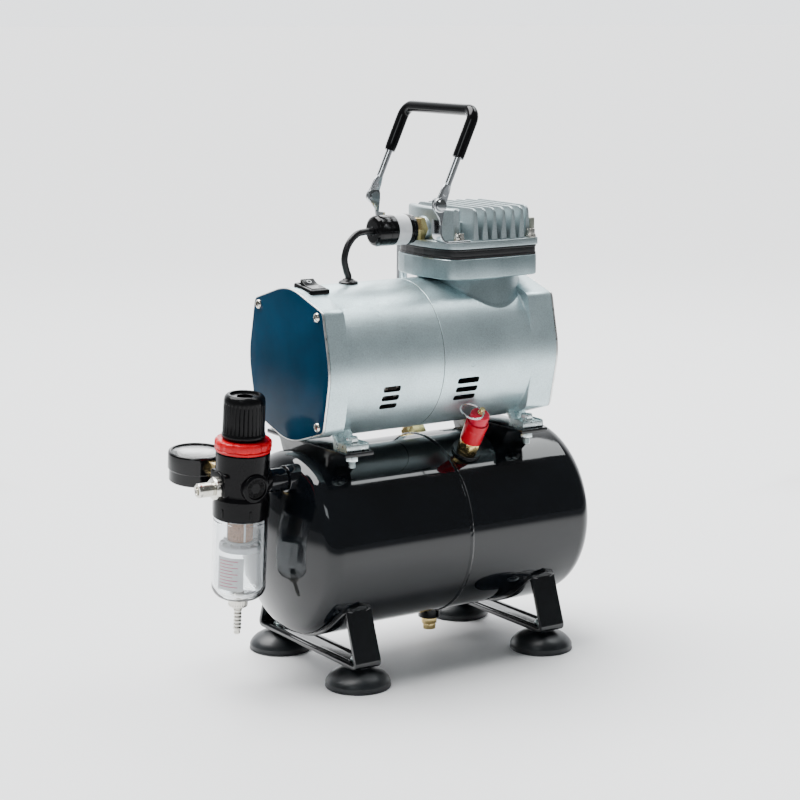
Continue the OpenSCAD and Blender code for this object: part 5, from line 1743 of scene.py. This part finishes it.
def rear_parts():
    x = centre_of("delivery_pipe").x
    port_y = HEAD_W / 2 + 0.8
    far_y = box("delivery_pipe")[1].y - 4
    valve_place = on_tank(x, INLET_ANGLE, 26)
    end = valve_place.translation
    start = valve_place @ Vector((0, 0, 1.6))
    line = soften([(port_y, SWITCH_Z), (far_y, SWITCH_Z, 11), (far_y, start.z + 4, 11), (end.y, end.z)], 11,
        False, 14)
    shape = Shape()
    shape.tube([(x, y, z) for y, z in line], 4, 32)
    nut = at(x, port_y, SWITCH_Z) @ REAR
    hex_head(shape, 12.8, 0.1, 7.9, nut)
    shape.disc(4.9, -6, 0.3, nut, 0.2, 0, 40)
    shape.done("delivery_tube", "frame", [CHROME], ["delivery_pipe"], "pipe_chrome")
    shape = Shape()
    base = on_tank(x, INLET_ANGLE)
    hex_head(shape, 16.8, 2.2, 11.2, base)
    shape.disc(6.5, 11, 17.4, base, 0.5, 0, 56)
    hex_head(shape, 11.8, 17.2, 26, base)
    shape.done("check_valve_body", "frame", [BRASS], ["check_valve"], "fitting_brass")
    filter_place = at(motor.translation.x + 62, port_y, SWITCH_Z) @ REAR
    shape = Shape()
    cap = [(0, -6), (4.9, -6), (4.9, 0), (7.9, 0), (7.9, 3), (10.6, 3.4, 0.8), (11, 5, 0.8), (11, 16.6, 1.2)]
    shape.lathe(soften(cap + [(9.4, 18, 0.8), (0, 18)], 0.4), filter_place, 0, 72)
    slots = Shape()
    for k in range(8):
        slots.disc(1.4, 16.4, 20, filter_place @ turn(45 * k, "Z") @ at(5.5, 0, 0), 0, 0, 20)
    done = shape.done("intake_filter_cap", "frame", [SATIN], ["intake_filter"], "black_plastic")
    # The slots' walls take the near-black painted shade.
    carve(done, slots, look=DARK)
    x, _, z = centre_of("cord_gland")
    here = at(x, 0, z) @ REAR
    top = box("cord_gland")[1].y
    shape = Shape()
    line = [(3.2, top - 8), (3.2, top - 0.9), (3.6, top - 0.2), (4.6, top), (6.6, top - 0.6),
        (7.8, top - 2.0), (7.9, top - 3.4), (7.9, 47.0), (5, 46.4), (5, top - 8)]
    shape.lathe_loop(soften(line, 0.4, True), here, 0, 64)
    shape.done("cord_gland_bush", "frame", [SATIN], ["cord_gland"], "black_plastic")


# ---------- inner parts keep their CAD shape ----------


def paint_inner_parts():
    looks = {
        "stator": CORE, "rotor": CORE, "crankshaft": STEEL, "bearings": STEEL, "cooling_fan": SATIN,
        "connecting_rod": ROD, "piston": ROD, "cylinder_liner": STEEL, "adjusting_screw": STEEL,
        "regulator_spring": STEEL,
    }
    for node, look in looks.items():
        mesh = frame["nodes"][node].data
        mesh.materials.clear()
        mesh.materials.append(look)


# ---------- the whole ----------

camera()
studio()
tank()
legs()
feet()
mounts()
housing()
valve_plate()
head()
head_bolts()
pressure_switch()
lead()
rocker_switch()
handle()
brackets()
safety_valve()
tank_drain()
regulator_body()
lock_ring()
regulator_knob()
fittings()
bowl()
gauge_set()
rear_parts()
paint_inner_parts()
